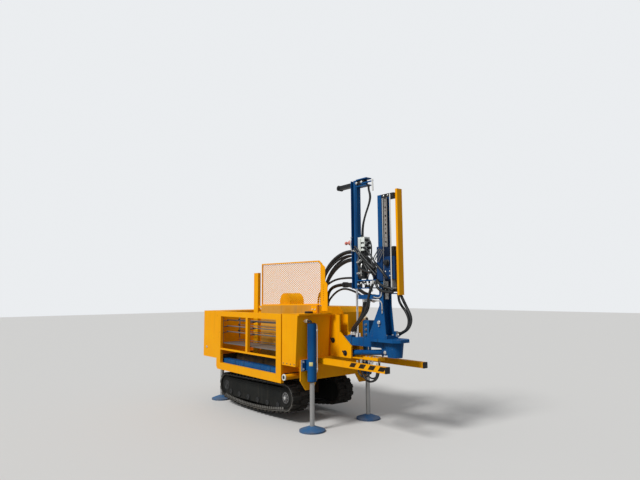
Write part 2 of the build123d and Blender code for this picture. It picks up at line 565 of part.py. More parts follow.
# rods, hooks and shelf in the open bay
upright_y = -HALF_WIDTH + FRAME_DEPTH + SEAT_GAP
hook_end = STORED_ROD_Y + STORED_ROD_DIAMETER / 2 + UPRIGHT_THICKNESS
with BuildPart() as rod_rack:
    for x in UPRIGHT_X:
        with BuildSketch(Plane.YZ.offset(x - UPRIGHT_WIDTH / 2)):
            with Locations((upright_y + UPRIGHT_THICKNESS / 2, (SHELF_Z + STORED_ROD_Z[-1] + 40) / 2)):
                Rectangle(UPRIGHT_THICKNESS, STORED_ROD_Z[-1] + 40 - SHELF_Z)
            for z in STORED_ROD_Z:
                hook_z = z - STORED_ROD_DIAMETER / 2
                with BuildLine():
                    Polyline((upright_y, hook_z), (hook_end - UPRIGHT_THICKNESS, hook_z),
                             (hook_end - UPRIGHT_THICKNESS, hook_z + HOOK_RISE),
                             (hook_end, hook_z + HOOK_RISE), (hook_end, hook_z - UPRIGHT_THICKNESS),
                             (upright_y, hook_z - UPRIGHT_THICKNESS), close=True)
                make_face()
        extrude(amount=UPRIGHT_WIDTH)
    with BuildSketch(Plane.YZ.offset(STORED_ROD_REAR - UPRIGHT_WIDTH)):
        with Locations(*[(STORED_ROD_Y, z) for z in STORED_ROD_Z]):
            Circle(STORED_ROD_DIAMETER / 2)
    extrude(amount=STORED_ROD_FRONT - STORED_ROD_REAR + 3 * UPRIGHT_WIDTH)
    shelf_outer_y = upright_y + UPRIGHT_THICKNESS + SEAT_GAP
    with Locations((UPRIGHT_X[0] - UPRIGHT_WIDTH / 2, shelf_outer_y, SHELF_Z)):
        Box(UPRIGHT_X[-1] - UPRIGHT_X[0] + UPRIGHT_WIDTH, SHELF_INNER_Y - shelf_outer_y, SHELF_THICKNESS,
            align=(Align.MIN, Align.MIN, Align.MIN))
write_piece(rod_rack, "rod_rack")

with BuildPart() as support_beam:
    beam_rear = OUTRIGGER_X[0] + 40
    with BuildSketch(Plane.YZ.offset(beam_rear)):
        with Locations((SUPPORT_BEAM_Y, (SUPPORT_BEAM_BOTTOM + SUPPORT_BEAM_TOP) / 2)):
            Rectangle(SUPPORT_BEAM_WIDTH, SUPPORT_BEAM_TOP - SUPPORT_BEAM_BOTTOM)
            Rectangle(SUPPORT_BEAM_WIDTH - 2 * SUPPORT_BEAM_WALL,
                      SUPPORT_BEAM_TOP - SUPPORT_BEAM_BOTTOM - 2 * SUPPORT_BEAM_WALL, mode=Mode.SUBTRACT)
    extrude(amount=OUTRIGGER_X[1] - 40 - beam_rear)
write_piece(support_beam, "support_beam")

# jack legs
for label, x, y in LEGS:
    with BuildPart() as leg_sleeve:
        with Locations((x, y, SLEEVE_BOTTOM)):
            Cylinder(SLEEVE_DIAMETER / 2, SLEEVE_TOP - SLEEVE_BOTTOM,
                     align=(Align.CENTER, Align.CENTER, Align.MIN))
            Cylinder(ROD_DIAMETER / 2 + RUNNING_GAP, SLEEVE_TOP - SLEEVE_BOTTOM - SLEEVE_CAP,
                     align=(Align.CENTER, Align.CENTER, Align.MIN), mode=Mode.SUBTRACT)
    write_piece(leg_sleeve, f"leg_sleeve_{label}")

    with BuildPart() as leg_rod:
        with Locations((x, y, PAD_RIM)):
            Cylinder(ROD_DIAMETER / 2, SLEEVE_BOTTOM + ROD_INSIDE - PAD_RIM,
                     align=(Align.CENTER, Align.CENTER, Align.MIN))
    write_piece(leg_rod, f"leg_rod_{label}")

    with BuildPart() as leg_pad:
        with BuildSketch(Plane.XZ.offset(-y)):
            with BuildLine():
                Polyline((x + ROD_DIAMETER / 2, PAD_RIM), (x + ROD_DIAMETER / 2, PAD_CONE),
                         (x + PAD_NECK / 2, PAD_CONE), (x + PAD_DIAMETER / 2, PAD_RIM + 6),
                         (x + PAD_DIAMETER / 2, 0), (x, 0), (x, PAD_RIM), close=True)
            make_face()
        revolve(axis=Axis((x, y, 0), (0, 0, 1)))
    write_piece(leg_pad, f"leg_pad_{label}")

with BuildPart() as leg_brackets:
    front_legs = [(x, y) for label, x, y in LEGS if label.startswith("front")]
    for x, y in front_legs:
        with BuildSketch(Plane.XY.offset(LEG_BRACKET_BOTTOM)):
            plate_front = CHASSIS_FRONT + END_PLATE_THICKNESS
            with Locations(((x + plate_front) / 2, y)):
                Rectangle(x - plate_front, LEG_BRACKET_WIDTH)
            with Locations((x, y)):
                Circle(SLEEVE_DIAMETER / 2, mode=Mode.SUBTRACT)
        extrude(amount=LEG_BRACKET_TOP - LEG_BRACKET_BOTTOM)
write_piece(leg_brackets, "leg_brackets")

# fork beams
with BuildPart() as fork_beams:
    with BuildSketch(Plane.YZ.offset(CHASSIS_FRONT + END_PLATE_THICKNESS)):
        with Locations((BEAM_Y, BEAM_Z), (-BEAM_Y, BEAM_Z)):
            Rectangle(BEAM_WIDTH, BEAM_HEIGHT)
            Rectangle(BEAM_WIDTH - 2 * BEAM_WALL, BEAM_HEIGHT - 2 * BEAM_WALL, mode=Mode.SUBTRACT)
    extrude(amount=HALF_LENGTH - CAP_LENGTH - CHASSIS_FRONT - END_PLATE_THICKNESS)
write_piece(fork_beams, "fork_beams")

with BuildPart() as beam_caps:
    with BuildSketch(Plane.YZ.offset(HALF_LENGTH - CAP_LENGTH)):
        with Locations((BEAM_Y, BEAM_Z), (-BEAM_Y, BEAM_Z)):
            Rectangle(BEAM_WIDTH + 2, BEAM_HEIGHT + 2)
    extrude(amount=CAP_LENGTH)
write_piece(beam_caps, "beam_caps")

# cheeks of the tower arm
with BuildPart() as arm_stand:
    for sign in (-1, 1):
        start = CHEEK_INNER_Y if sign < 0 else -CHEEK_INNER_Y - CHEEK_THICKNESS
        with BuildSketch(Plane.XZ.offset(start)):
            with BuildLine():
                Polyline((CHEEK_REAR, CHEEK_TOP), (CHEEK_TOP_FRONT, CHEEK_TOP),
                         (CHEEK_TOP_FRONT, CHEEK_KNEE_Z), (CHEEK_FOOT_FRONT, CHEEK_TOE_Z),
                         (CHEEK_FOOT_FRONT, CHEEK_BOTTOM), (CHEEK_REAR, CHEEK_BOTTOM), close=True)
            make_face()
            with Locations((ARM_PIN_X, ARM_PIN_Z)):
                Circle(ARM_PIN_DIAMETER / 2 + RUNNING_GAP, mode=Mode.SUBTRACT)
            with Locations((CYLINDER_PIN_X, CYLINDER_PIN_Z)):
                Circle(CYLINDER_PIN_DIAMETER / 2 + RUNNING_GAP, mode=Mode.SUBTRACT)
        extrude(amount=CHEEK_THICKNESS)
    with Locations((CHEEK_REAR, 0, DECK_TOP)):
        Box(STAND_PLATE, 2 * (CHEEK_INNER_Y + CHEEK_THICKNESS), CHEEK_TOP - DECK_TOP,
            align=(Align.MAX, Align.CENTER, Align.MIN))
    # notch that the hoses on the folded arm pass through
    with Locations((CHEEK_REAR, 0, NOTCH_BOTTOM)):
        Box(STAND_PLATE, 2 * CHEEK_INNER_Y, CHEEK_TOP - NOTCH_BOTTOM,
            align=(Align.MAX, Align.CENTER, Align.MIN), mode=Mode.SUBTRACT)
    # tray and hose block below the tilt cylinder
    with BuildSketch(Plane.XZ.offset(-TRAY_WIDTH / 2)):
        with BuildLine():
            Polyline((TRAY_REAR, TRAY_BOTTOM), (TRAY_FRONT, TRAY_BOTTOM),
                     (TRAY_FRONT, TRAY_BOTTOM + TRAY_THICKNESS + TRAY_BLOCK_HEIGHT),
                     (TRAY_BLOCK_REAR, TRAY_BOTTOM + TRAY_THICKNESS + TRAY_BLOCK_HEIGHT),
                     (TRAY_BLOCK_REAR, TRAY_BOTTOM + TRAY_THICKNESS),
                     (TRAY_REAR, TRAY_BOTTOM + TRAY_THICKNESS), close=True)
        make_face()
    extrude(amount=TRAY_WIDTH)
    with Locations(((TRAY_REAR + CHEEK_FOOT_FRONT) / 2, 0, TRAY_BOTTOM)):
        Box(CHEEK_FOOT_FRONT - TRAY_REAR, 2 * CHEEK_INNER_Y + 2, TRAY_THICKNESS,
            align=(Align.CENTER, Align.CENTER, Align.MIN))
write_piece(arm_stand, "arm_stand")

# tilting tower
hose_corners = {name: corners for name, diameter, corners in HOSES}
drop_x, drop_y, drop_z = hose_corners["hose_drop"][-1]
with BuildPart() as tower_arm:
    with BuildSketch(Plane.XZ.offset(-ARM_WIDTH / 2)):
        with BuildLine():
            Polyline((ARM_PIN_X, ARM_PIN_Z + ARM_KNUCKLE), (ARM_PIN_X + ARM_TAPER_LENGTH, ARM_TOP),
                     (ARM_FRONT, ARM_TOP), (ARM_FRONT, ARM_BOTTOM),
                     (ARM_PIN_X + ARM_TAPER_LENGTH, ARM_BOTTOM), (ARM_PIN_X, ARM_PIN_Z - ARM_KNUCKLE),
                     close=True)
        make_face()
        with Locations((ARM_PIN_X, ARM_PIN_Z)):
            Circle(ARM_KNUCKLE)
    extrude(amount=ARM_WIDTH)
    # hose blocks on top of the arm
    with Locations(((ARM_BLOCK_REAR + ARM_BLOCK_FRONT) / 2, 0, ARM_TOP)):
        Box(ARM_BLOCK_FRONT - ARM_BLOCK_REAR, ARM_BLOCK_WIDTH, ARM_BLOCK_TOP - ARM_TOP,
            align=(Align.CENTER, Align.CENTER, Align.MIN))
    with Locations((drop_x, 0, ARM_TOP)):
        Box(DROP_BLOCK_LENGTH, DROP_BLOCK_WIDTH, drop_z - ARM_TOP,
            align=(Align.CENTER, Align.CENTER, Align.MIN))
    # pin through both cheeks
    with BuildSketch(Plane.XZ.offset(-CHEEK_INNER_Y - CHEEK_THICKNESS - 8)):
        with Locations((ARM_PIN_X, ARM_PIN_Z)):
            Circle(ARM_PIN_DIAMETER / 2)
    extrude(amount=2 * (CHEEK_INNER_Y + CHEEK_THICKNESS + 8))
    # lugs of the tilt cylinder's rod eye
    for sign in (-1, 1):
        with BuildSketch(Plane.XZ.offset(34 if sign < 0 else -50)):
            with BuildLine():
                Polyline((TILT_EYE_X - 80, ARM_BOTTOM + 18), (ARM_FRONT, ARM_BOTTOM + 18),
                         (ARM_FRONT, ARM_BOTTOM), (TILT_EYE_X + TILT_LUG_RADIUS, TILT_EYE_Z),
                         (TILT_EYE_X - TILT_LUG_RADIUS, TILT_EYE_Z), close=True)
            make_face()
            with Locations((TILT_EYE_X, TILT_EYE_Z)):
                Circle(TILT_LUG_RADIUS)
        extrude(amount=16)
write_piece(tower_arm, "tower_arm")

side_end_x, side_end_y, side_end_z = hose_corners["hose_side"][-1]
platform_outline = [(PLATFORM_REAR, -PLATFORM_WIDTH / 2),
                    (PLATFORM_FRONT - PLATFORM_NOSE, -PLATFORM_WIDTH / 2),
                    (PLATFORM_FRONT, -PLATFORM_WIDTH / 2 + PLATFORM_NOSE),
                    (PLATFORM_FRONT, PLATFORM_WIDTH / 2 - PLATFORM_NOSE),
                    (PLATFORM_FRONT - PLATFORM_NOSE, PLATFORM_WIDTH / 2), (PLATFORM_REAR, PLATFORM_WIDTH / 2)]
with BuildPart() as tower_platform:
    with BuildSketch(Plane.XY.offset(SKIRT_BOTTOM)):
        with BuildLine():
            Polyline(*platform_outline, close=True)
        rim = make_face()
        offset(rim, amount=-SKIRT_THICKNESS, kind=Kind.INTERSECTION, mode=Mode.SUBTRACT)
        with Locations((PLATFORM_REAR, 0)):
            Rectangle(4 * SKIRT_THICKNESS, ARM_WIDTH, mode=Mode.SUBTRACT)
    extrude(amount=PLATFORM_TOP - SKIRT_BOTTOM)
    with BuildSketch(Plane.XY.offset(ARM_TOP)):
        with BuildLine():
            Polyline(*platform_outline, close=True)
        make_face()
    extrude(amount=PLATFORM_TOP - ARM_TOP)
    # foot below the mast
    with Locations(((FOOT_REAR + FOOT_FRONT) / 2, 0, ARM_TOP)):
        Box(FOOT_FRONT - FOOT_REAR, FOOT_WIDTH, FOOT_TOP - ARM_TOP,
            align=(Align.CENTER, Align.CENTER, Align.MIN))
    with Locations((side_end_x - SIDE_BLOCK_LENGTH / 2, side_end_y, PLATFORM_TOP)):
        Box(SIDE_BLOCK_LENGTH, SIDE_BLOCK_WIDTH, side_end_z + SIDE_BLOCK_RISE - PLATFORM_TOP,
            align=(Align.CENTER, Align.CENTER, Align.MIN))
    with Locations((DRILL_X, 0, ARM_TOP)):
        Cylinder(GUIDE_BORE / 2, PLATFORM_TOP - ARM_TOP, align=(Align.CENTER, Align.CENTER, Align.MIN),
                 mode=Mode.SUBTRACT)
write_piece(tower_platform, "tower_platform")

# tapered guide of the drill rods, with two cheeks that run back to the arm
guide_inner_x = DRILL_X - GUIDE_BORE / 2 - GUIDE_WALL
guide_cheek_foot = GUIDE_CHEEK_FOOT_X - GUIDE_BORE / 2 - GUIDE_WALL
with BuildPart() as rod_guide:
    with BuildSketch(Plane.XY.offset(ARM_TOP)):
        with Locations((DRILL_X, 0)):
            Circle(GUIDE_RADIUS)
        with Locations(((ARM_FRONT + DRILL_X) / 2, 0)):
            Rectangle(DRILL_X - ARM_FRONT, 2 * GUIDE_RADIUS)
    extrude(amount=-(ARM_TOP - GUIDE_BOTTOM), taper=GUIDE_TAPER)
    with BuildSketch(Plane.XZ.offset(-GUIDE_RADIUS)):
        with BuildLine():
            Polyline((ARM_FRONT - 1, GUIDE_CHEEK_TOP_Z), (GUIDE_CHEEK_TOP_X, GUIDE_CHEEK_TOP_Z),
                     (guide_cheek_foot, GUIDE_CHEEK_FOOT_Z), (guide_cheek_foot, GUIDE_BOTTOM),
                     (ARM_FRONT - 1, GUIDE_BOTTOM), close=True)
        make_face()
    extrude(amount=2 * GUIDE_RADIUS, mode=Mode.SUBTRACT)
    with Locations((ARM_FRONT, 0, ARM_TOP)):
        Box(guide_inner_x - ARM_FRONT, 2 * (GUIDE_RADIUS - 4 * GUIDE_WALL), ARM_TOP - GUIDE_BOTTOM,
            align=(Align.MIN, Align.CENTER, Align.MAX), mode=Mode.SUBTRACT)
    with Locations((DRILL_X, 0, ARM_TOP)):
        Cylinder(GUIDE_BORE / 2, ARM_TOP - GUIDE_BOTTOM, align=(Align.CENTER, Align.CENTER, Align.MAX),
                 mode=Mode.SUBTRACT)
write_piece(rod_guide, "rod_guide")

mast_rear, mast_front = MAST_X - MAST_DEPTH / 2, MAST_X + MAST_DEPTH / 2
with BuildPart() as mast:
    with BuildSketch(Plane.XY.offset(FOOT_TOP)):
        with Locations((MAST_X, 0)):
            Rectangle(MAST_DEPTH, MAST_WIDTH)
        with Locations((MAST_X + MAST_WALL, 0)):
            Rectangle(MAST_DEPTH, MAST_WIDTH - 2 * MAST_WALL, mode=Mode.SUBTRACT)
    extrude(amount=MAST_TOP - FOOT_TOP)
    # gussets in line with both flanges
    for inner in (-MAST_WIDTH / 2, MAST_WIDTH / 2 - MAST_WALL):
        with BuildSketch(Plane.XZ.offset(-inner - MAST_WALL)):
            with BuildLine():
                Polyline((GUSSET_REAR, FOOT_TOP), (mast_rear, GUSSET_TOP), (mast_front, GUSSET_TOP),
                         (GUSSET_FRONT, FOOT_TOP), close=True)
            make_face()
        extrude(amount=MAST_WALL)
    # hose manifold behind the mast, with an arm to the left
    with Locations((MANIFOLD_REAR, 0, MANIFOLD_BOTTOM)):
        Box(mast_rear + 1 - MANIFOLD_REAR, MAST_WIDTH - 8, MANIFOLD_TOP - MANIFOLD_BOTTOM,
            align=(Align.MIN, Align.CENTER, Align.MIN))
        Box(MANIFOLD_ARM_LENGTH, BULKHEAD_Y, MANIFOLD_TOP - MANIFOLD_BOTTOM,
            align=(Align.MIN, Align.MIN, Align.MIN))
    # bracket of the hose beside the mast
    with Locations((MAST_X, MAST_WIDTH / 2 - 1, SIDE_BRACKET_Z)):
        Box(SIDE_BRACKET_FRONT - MAST_X, SIDE_BRACKET_Y - MAST_WIDTH / 2 + 1, 12,
            align=(Align.MIN, Align.MIN, Align.MIN))
write_piece(mast, "mast")

with BuildPart() as mast_rack:
    rack_height = MAST_TOP - 8 - RACK_BOTTOM
    with BuildSketch(Plane.YZ.offset(mast_rear + MAST_WALL)):
        with Locations((0, RACK_BOTTOM + rack_height / 2)):
            Rectangle(RACK_WIDTH, rack_height)
            with GridLocations(1, RACK_PITCH, 1, int(rack_height / RACK_PITCH)):
                Circle(RACK_HOLE / 2, mode=Mode.SUBTRACT)
    extrude(amount=RACK_DEPTH)
write_piece(mast_rack, "mast_rack")

with BuildPart() as tower_guard:
    with BuildSketch(Plane.XY.offset(TOWER_GUARD_BOTTOM)):
        with Locations((TOWER_GUARD_X, 0)):
            Rectangle(TOWER_GUARD_DEPTH, TOWER_GUARD_WIDTH)
        with Locations((TOWER_GUARD_X - TOWER_GUARD_WALL, 0)):
            Rectangle(TOWER_GUARD_DEPTH, TOWER_GUARD_WIDTH - 2 * TOWER_GUARD_WALL, mode=Mode.SUBTRACT)
    extrude(amount=TOWER_GUARD_TOP - TOWER_GUARD_BOTTOM)
write_piece(tower_guard, "tower_guard")

# straps between the mast's flanges and its guard, above and below the carriage's travel
with BuildPart() as guard_brackets:
    strap_rear = MAST_X + MAST_DEPTH / 2
    strap_front = TOWER_GUARD_X - TOWER_GUARD_DEPTH / 2
    for z in (LOWER_BRACKET_Z, MAST_TOP - STRAP_HEIGHT):
        with BuildSketch(Plane.XY.offset(z)):
            with Locations(((strap_rear + strap_front) / 2, 0)):
                Rectangle(strap_front - strap_rear, MAST_WIDTH)
            with Locations(((strap_rear + strap_front) / 2 - STRAP_THICKNESS, 0)):
                Rectangle(strap_front - strap_rear, MAST_WIDTH - 2 * STRAP_THICKNESS, mode=Mode.SUBTRACT)
        extrude(amount=STRAP_HEIGHT)
write_piece(guard_brackets, "guard_brackets")

with BuildPart() as feed_rod:
    with Locations((COLUMN_X, 0, ARM_TOP)):
        Cylinder(FEED_ROD_DIAMETER / 2, FEED_ROD_TOP - ARM_TOP,
                 align=(Align.CENTER, Align.CENTER, Align.MIN))
        Cylinder(34, 46, align=(Align.CENTER, Align.CENTER, Align.MIN))
write_piece(feed_rod, "feed_rod")

# tilt cylinder
tilt_length = hypot(TILT_EYE_X - CYLINDER_PIN_X, TILT_EYE_Z - CYLINDER_PIN_Z)
tilt_plane = Plane(origin=(CYLINDER_PIN_X, 0, CYLINDER_PIN_Z), x_dir=(0, 1, 0),
                   z_dir=(TILT_EYE_X - CYLINDER_PIN_X, 0, TILT_EYE_Z - CYLINDER_PIN_Z))
with BuildPart() as tilt_barrel:
    with BuildSketch(tilt_plane.offset(TILT_BARREL_START)):
        Circle(TILT_BARREL_DIAMETER / 2)
    extrude(amount=TILT_BARREL_END - TILT_BARREL_START)
    with BuildSketch(tilt_plane.offset(TILT_BARREL_START + 20)):
        Circle(TILT_BORE / 2)
    extrude(amount=TILT_BARREL_END - TILT_BARREL_START, mode=Mode.SUBTRACT)
    with BuildSketch(Plane.XZ.offset(-24)):
        with Locations((CYLINDER_PIN_X, CYLINDER_PIN_Z)):
            Circle(32)
    extrude(amount=48)
    with BuildSketch(Plane.XZ.offset(-CHEEK_INNER_Y - CHEEK_THICKNESS - 8)):
        with Locations((CYLINDER_PIN_X, CYLINDER_PIN_Z)):
            Circle(CYLINDER_PIN_DIAMETER / 2)
    extrude(amount=2 * (CHEEK_INNER_Y + CHEEK_THICKNESS + 8))
write_piece(tilt_barrel, "tilt_barrel")

with BuildPart() as tilt_rod:
    with BuildSketch(tilt_plane.offset(TILT_PISTON_START)):
        Circle(TILT_BORE / 2 - 0.4)
    extrude(amount=TILT_PISTON_LENGTH)
    with BuildSketch(tilt_plane.offset(TILT_PISTON_START)):
        Circle(TILT_ROD_DIAMETER / 2)
    extrude(amount=tilt_length - TILT_PISTON_START)
    with BuildSketch(Plane.XZ.offset(-26)):
        with Locations((TILT_EYE_X, TILT_EYE_Z)):
            Circle(TILT_EYE_RADIUS)
    extrude(amount=52)
write_piece(tilt_rod, "tilt_rod")

# feed column and carriage
with BuildPart() as feed_column:
    with BuildSketch(Plane.XY.offset(COLUMN_BOTTOM)):
        with Locations((COLUMN_X, 0)):
            Rectangle(COLUMN_DEPTH, COLUMN_WIDTH)
        with Locations((COLUMN_X, -COLUMN_WALL)):
            Rectangle(COLUMN_DEPTH - 2 * COLUMN_WALL, COLUMN_WIDTH, mode=Mode.SUBTRACT)
    extrude(amount=COLUMN_TOP - COLUMN_BOTTOM)
    with BuildSketch(Plane.XY.offset(COLUMN_BOTTOM)):
        with Locations((COLUMN_X, 0)):
            Circle(BARREL_DIAMETER / 2)
    extrude(amount=COLUMN_TOP - COLUMN_BOTTOM)
    with BuildSketch(Plane.XY.offset(COLUMN_BOTTOM)):
        with Locations((COLUMN_X, 0)):
            Circle(BARREL_BORE / 2)
    extrude(amount=COLUMN_TOP - COLUMN_BOTTOM - 20, mode=Mode.SUBTRACT)
    with Locations((COLUMN_X, COLUMN_WIDTH / 2 - 12, COLUMN_BOTTOM)):
        Box(70, 14, COLUMN_TOP - COLUMN_BOTTOM, align=(Align.CENTER, Align.CENTER, Align.MIN))
    with BuildSketch(Plane.XY.offset(COLUMN_BOTTOM)):
        with Locations((COLUMN_X, 0)):
            Circle(BARREL_BORE / 2)
    extrude(amount=COLUMN_TOP - COLUMN_BOTTOM - 20, mode=Mode.SUBTRACT)
write_piece(feed_column, "feed_column")

link_front = mast_rear - CARRIAGE_GAP - CARRIAGE_WALL
with BuildPart() as column_links:
    for z, reach in ((COLUMN_BOTTOM, LOWER_LINK_FRONT),
                     (COLUMN_BOTTOM + LOWER_LINK_RISE, link_front),
                     (COLUMN_TOP - UPPER_LINK_DROP, UPPER_LINK_FRONT),
                     (COLUMN_TOP - LINK_THICKNESS, UPPER_LINK_FRONT)):
        with Locations((COLUMN_X + COLUMN_DEPTH / 2, 0, z)):
            Box(reach - COLUMN_X - COLUMN_DEPTH / 2, LINK_WIDTH, LINK_THICKNESS,
                align=(Align.MIN, Align.CENTER, Align.MIN))
write_piece(column_links, "column_links")

# sheave housings behind the column and between its upper plates
upper_sheave_z = COLUMN_TOP - UPPER_LINK_DROP / 2
lower_sheave_z = COLUMN_BOTTOM + (LOWER_LINK_RISE + LINK_THICKNESS) / 2
column_rear, column_front = COLUMN_X - COLUMN_DEPTH / 2, COLUMN_X + COLUMN_DEPTH / 2
with BuildPart() as hose_sheaves:
    radius = min(SHEAVE_RADIUS, (UPPER_LINK_DROP - 2 * LINK_THICKNESS) / 2 - SEAT_GAP)
    for wheel_x, z, root_x in ((SHEAVE_REAR_X, upper_sheave_z, column_rear),
                               (SHEAVE_LOW_X, lower_sheave_z, column_rear),
                               (SHEAVE_FRONT_X, upper_sheave_z, column_front)):
        with BuildSketch(Plane.XZ.offset(-SHEAVE_WIDTH / 2)):
            with Locations((wheel_x, z)):
                Circle(radius)
            with Locations(((wheel_x + root_x) / 2, z)):
                Rectangle(abs(root_x - wheel_x), 1.4 * radius)
        extrude(amount=SHEAVE_WIDTH)
        with BuildSketch(Plane.XZ.offset(-SHEAVE_WIDTH / 2 - SHEAVE_HUB_PROUD)):
            with Locations((wheel_x, z)):
                Circle(SHEAVE_HUB_RADIUS)
        extrude(amount=SHEAVE_WIDTH + 2 * SHEAVE_HUB_PROUD)
write_piece(hose_sheaves, "hose_sheaves")

with BuildPart() as carriage:
    outside = CARRIAGE_GAP + CARRIAGE_WALL
    with BuildSketch(Plane.XY.offset(CARRIAGE_BOTTOM)):
        with Locations((MAST_X, 0)):
            Rectangle(MAST_DEPTH + 2 * outside, MAST_WIDTH + 2 * outside)
            Rectangle(MAST_DEPTH + 2 * CARRIAGE_GAP, MAST_WIDTH + 2 * CARRIAGE_GAP, mode=Mode.SUBTRACT)
    extrude(amount=CARRIAGE_TOP - CARRIAGE_BOTTOM)
    # hose bulkhead on the left, on a web behind the mast
    bulkhead_inner_y = BULKHEAD_Y - BULKHEAD_THICKNESS
    with Locations((BULKHEAD_REAR, bulkhead_inner_y, BULKHEAD_BOTTOM)):
        Box(MAST_X - BULKHEAD_REAR, BULKHEAD_THICKNESS, BULKHEAD_TOP - BULKHEAD_BOTTOM,
            align=(Align.MIN, Align.MIN, Align.MIN))
    with Locations((MAST_X, MAST_WIDTH / 2 + CARRIAGE_GAP + CARRIAGE_WALL - 1, CARRIAGE_BOTTOM)):
        Box(BULKHEAD_THICKNESS, bulkhead_inner_y - MAST_WIDTH / 2 - CARRIAGE_GAP - CARRIAGE_WALL + 2,
            BULKHEAD_TOP - CARRIAGE_BOTTOM, align=(Align.MAX, Align.MIN, Align.MIN))
write_piece(carriage, "carriage")

with BuildPart() as drill_head:
    head_rear = mast_front + CARRIAGE_GAP + CARRIAGE_WALL
    with Locations((head_rear, 0, HEAD_BOTTOM)):
        Box(DRILL_X + HEAD_RADIUS - head_rear, 2 * HEAD_RADIUS, HEAD_HEIGHT,
            align=(Align.MIN, Align.CENTER, Align.MIN))
    with Locations((DRILL_X, 0, HEAD_BOTTOM)):
        Cylinder(SPINDLE_DIAMETER / 2 + RUNNING_GAP, HEAD_HEIGHT - 30,
                 align=(Align.CENTER, Align.CENTER, Align.MIN), mode=Mode.SUBTRACT)
write_piece(drill_head, "drill_head")

with BuildPart() as spindle:
    with Locations((DRILL_X, 0, HEAD_BOTTOM - CHUCK_HEIGHT)):
        Cylinder(CHUCK_DIAMETER / 2, CHUCK_HEIGHT - 6, align=(Align.CENTER, Align.CENTER, Align.MIN))
        Cylinder(SPINDLE_DIAMETER / 2, CHUCK_HEIGHT + HEAD_HEIGHT - 34,
                 align=(Align.CENTER, Align.CENTER, Align.MIN))
        Cylinder(SPINDLE_BORE / 2, 60, align=(Align.CENTER, Align.CENTER, Align.MIN), mode=Mode.SUBTRACT)
write_piece(spindle, "spindle")

with BuildPart() as valve_block:
    with Locations((COLUMN_X + COLUMN_DEPTH / 2, -COLUMN_WIDTH / 2 + 10, 2010)):
        Box(110, 90, 220, align=(Align.MIN, Align.MIN, Align.MIN))
write_piece(valve_block, "valve_block")

# hoses and the elbows that turn three of them to their plates
def hose_path(corners):
    """Tangent bends through the corners, each taking one share of the shorter run beside it."""
    points = [Vector(*corner) for corner in corners]
    radii = []
    for before, here, after in zip(points, points[1:], points[2:]):
        half_turn = radians((here - before).get_angle(after - here)) / 2
        radii.append(HOSE_SHARE * min((here - before).length, (after - here).length) / tan(half_turn))
    return FilletPolyline(*points, radius=radii), radii


for name, diameter, corners in HOSES:
    with BuildPart() as hose:
        with BuildLine():
            route, radii = hose_path(corners)
        with BuildSketch(Plane(origin=route @ 0, z_dir=route % 0)):
            Circle(diameter / 2)
        sweep()
    tightest = min(radii)
    print(f"{name} length {route.length:.0f} bend {tightest:.0f}, {tightest / diameter:.1f} diameters")
    write_piece(hose, name)

with BuildPart() as hose_elbows:
    for name in ELBOWS_AFTER:
        last = Vector(*hose_corners[name][-1])
        ahead = last - Vector(*hose_corners[name][-2])
        ahead = Vector(ahead.X, 0, ahead.Z).normalized()
        with BuildSketch(Plane(origin=last, z_dir=ahead)):
            Circle(ELBOW_DIAMETER / 2)
        centre = last - Vector(0, ELBOW_RADIUS, 0)
        revolve(axis=Axis(centre, ahead.cross(Vector(0, -1, 0))), revolution_arc=90)
        with BuildSketch(Plane(origin=centre + ahead * ELBOW_RADIUS, z_dir=(0, -1, 0))):
            Circle(ELBOW_FLANGE / 2)
        extrude(amount=centre.Y - BULKHEAD_Y - SEAT_GAP)
write_piece(hose_elbows, "hose_elbows")
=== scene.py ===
import math
from functools import partial

import bmesh
import bpy
import numpy as np
from mathutils import Matrix, Vector


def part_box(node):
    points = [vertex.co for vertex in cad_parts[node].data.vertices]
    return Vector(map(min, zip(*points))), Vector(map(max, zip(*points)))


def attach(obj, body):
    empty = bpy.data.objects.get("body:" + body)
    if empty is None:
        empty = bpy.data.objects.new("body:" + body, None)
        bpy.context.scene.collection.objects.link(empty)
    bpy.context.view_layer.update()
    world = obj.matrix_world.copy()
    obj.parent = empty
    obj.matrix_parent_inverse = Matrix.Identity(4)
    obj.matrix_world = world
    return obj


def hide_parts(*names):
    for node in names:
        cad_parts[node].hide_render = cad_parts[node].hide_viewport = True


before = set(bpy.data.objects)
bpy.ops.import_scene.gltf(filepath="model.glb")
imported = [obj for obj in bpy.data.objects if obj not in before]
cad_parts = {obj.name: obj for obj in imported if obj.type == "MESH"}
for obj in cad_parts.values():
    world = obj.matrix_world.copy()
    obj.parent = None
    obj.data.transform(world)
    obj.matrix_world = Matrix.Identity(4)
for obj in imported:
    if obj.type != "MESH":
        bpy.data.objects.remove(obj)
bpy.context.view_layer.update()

AHEAD, BACK, UP, DOWN, RIGHT = (1, 0, 0), (-1, 0, 0), (0, 0, 1), (0, 0, -1), (0, -1, 0)
SIDES = (("right", -1), ("left", 1))
LEGS = (("front_right", -1), ("front_left", 1), ("rear_right", -1), ("rear_left", 1))

# camera: stands in front of the tower, to the machine's right, at eye height
EYE_POINT = Vector((5.354, -4.106, 1.55))
EYE_YAW, EYE_PITCH, EYE_ROLL = math.radians(140.86), math.radians(6.30), math.radians(-0.34)
SENSOR_WIDTH, FOCAL_LENGTH, FARTHEST = 36.0, 28.04, 200.0

# light: a wide soft lamp, and a pale sky that lights less than it shows
TO_LAMP, LAMP_ENERGY, LAMP_ANGLE = Vector((0.02, -0.72, 0.69)), 2.8, math.radians(14.0)
SKY_LIGHT, SKY_STRENGTH, SKY_SHOWN = (0.93, 0.96, 1.0), 0.44, (0.83, 0.85, 0.87)
FLOOR_HALF, FLOOR_ROUGHNESS = 40.0, 0.9
FLOOR_LIT, FLOOR_SHOWN = (0.20, 0.195, 0.19), (0.62, 0.61, 0.59)


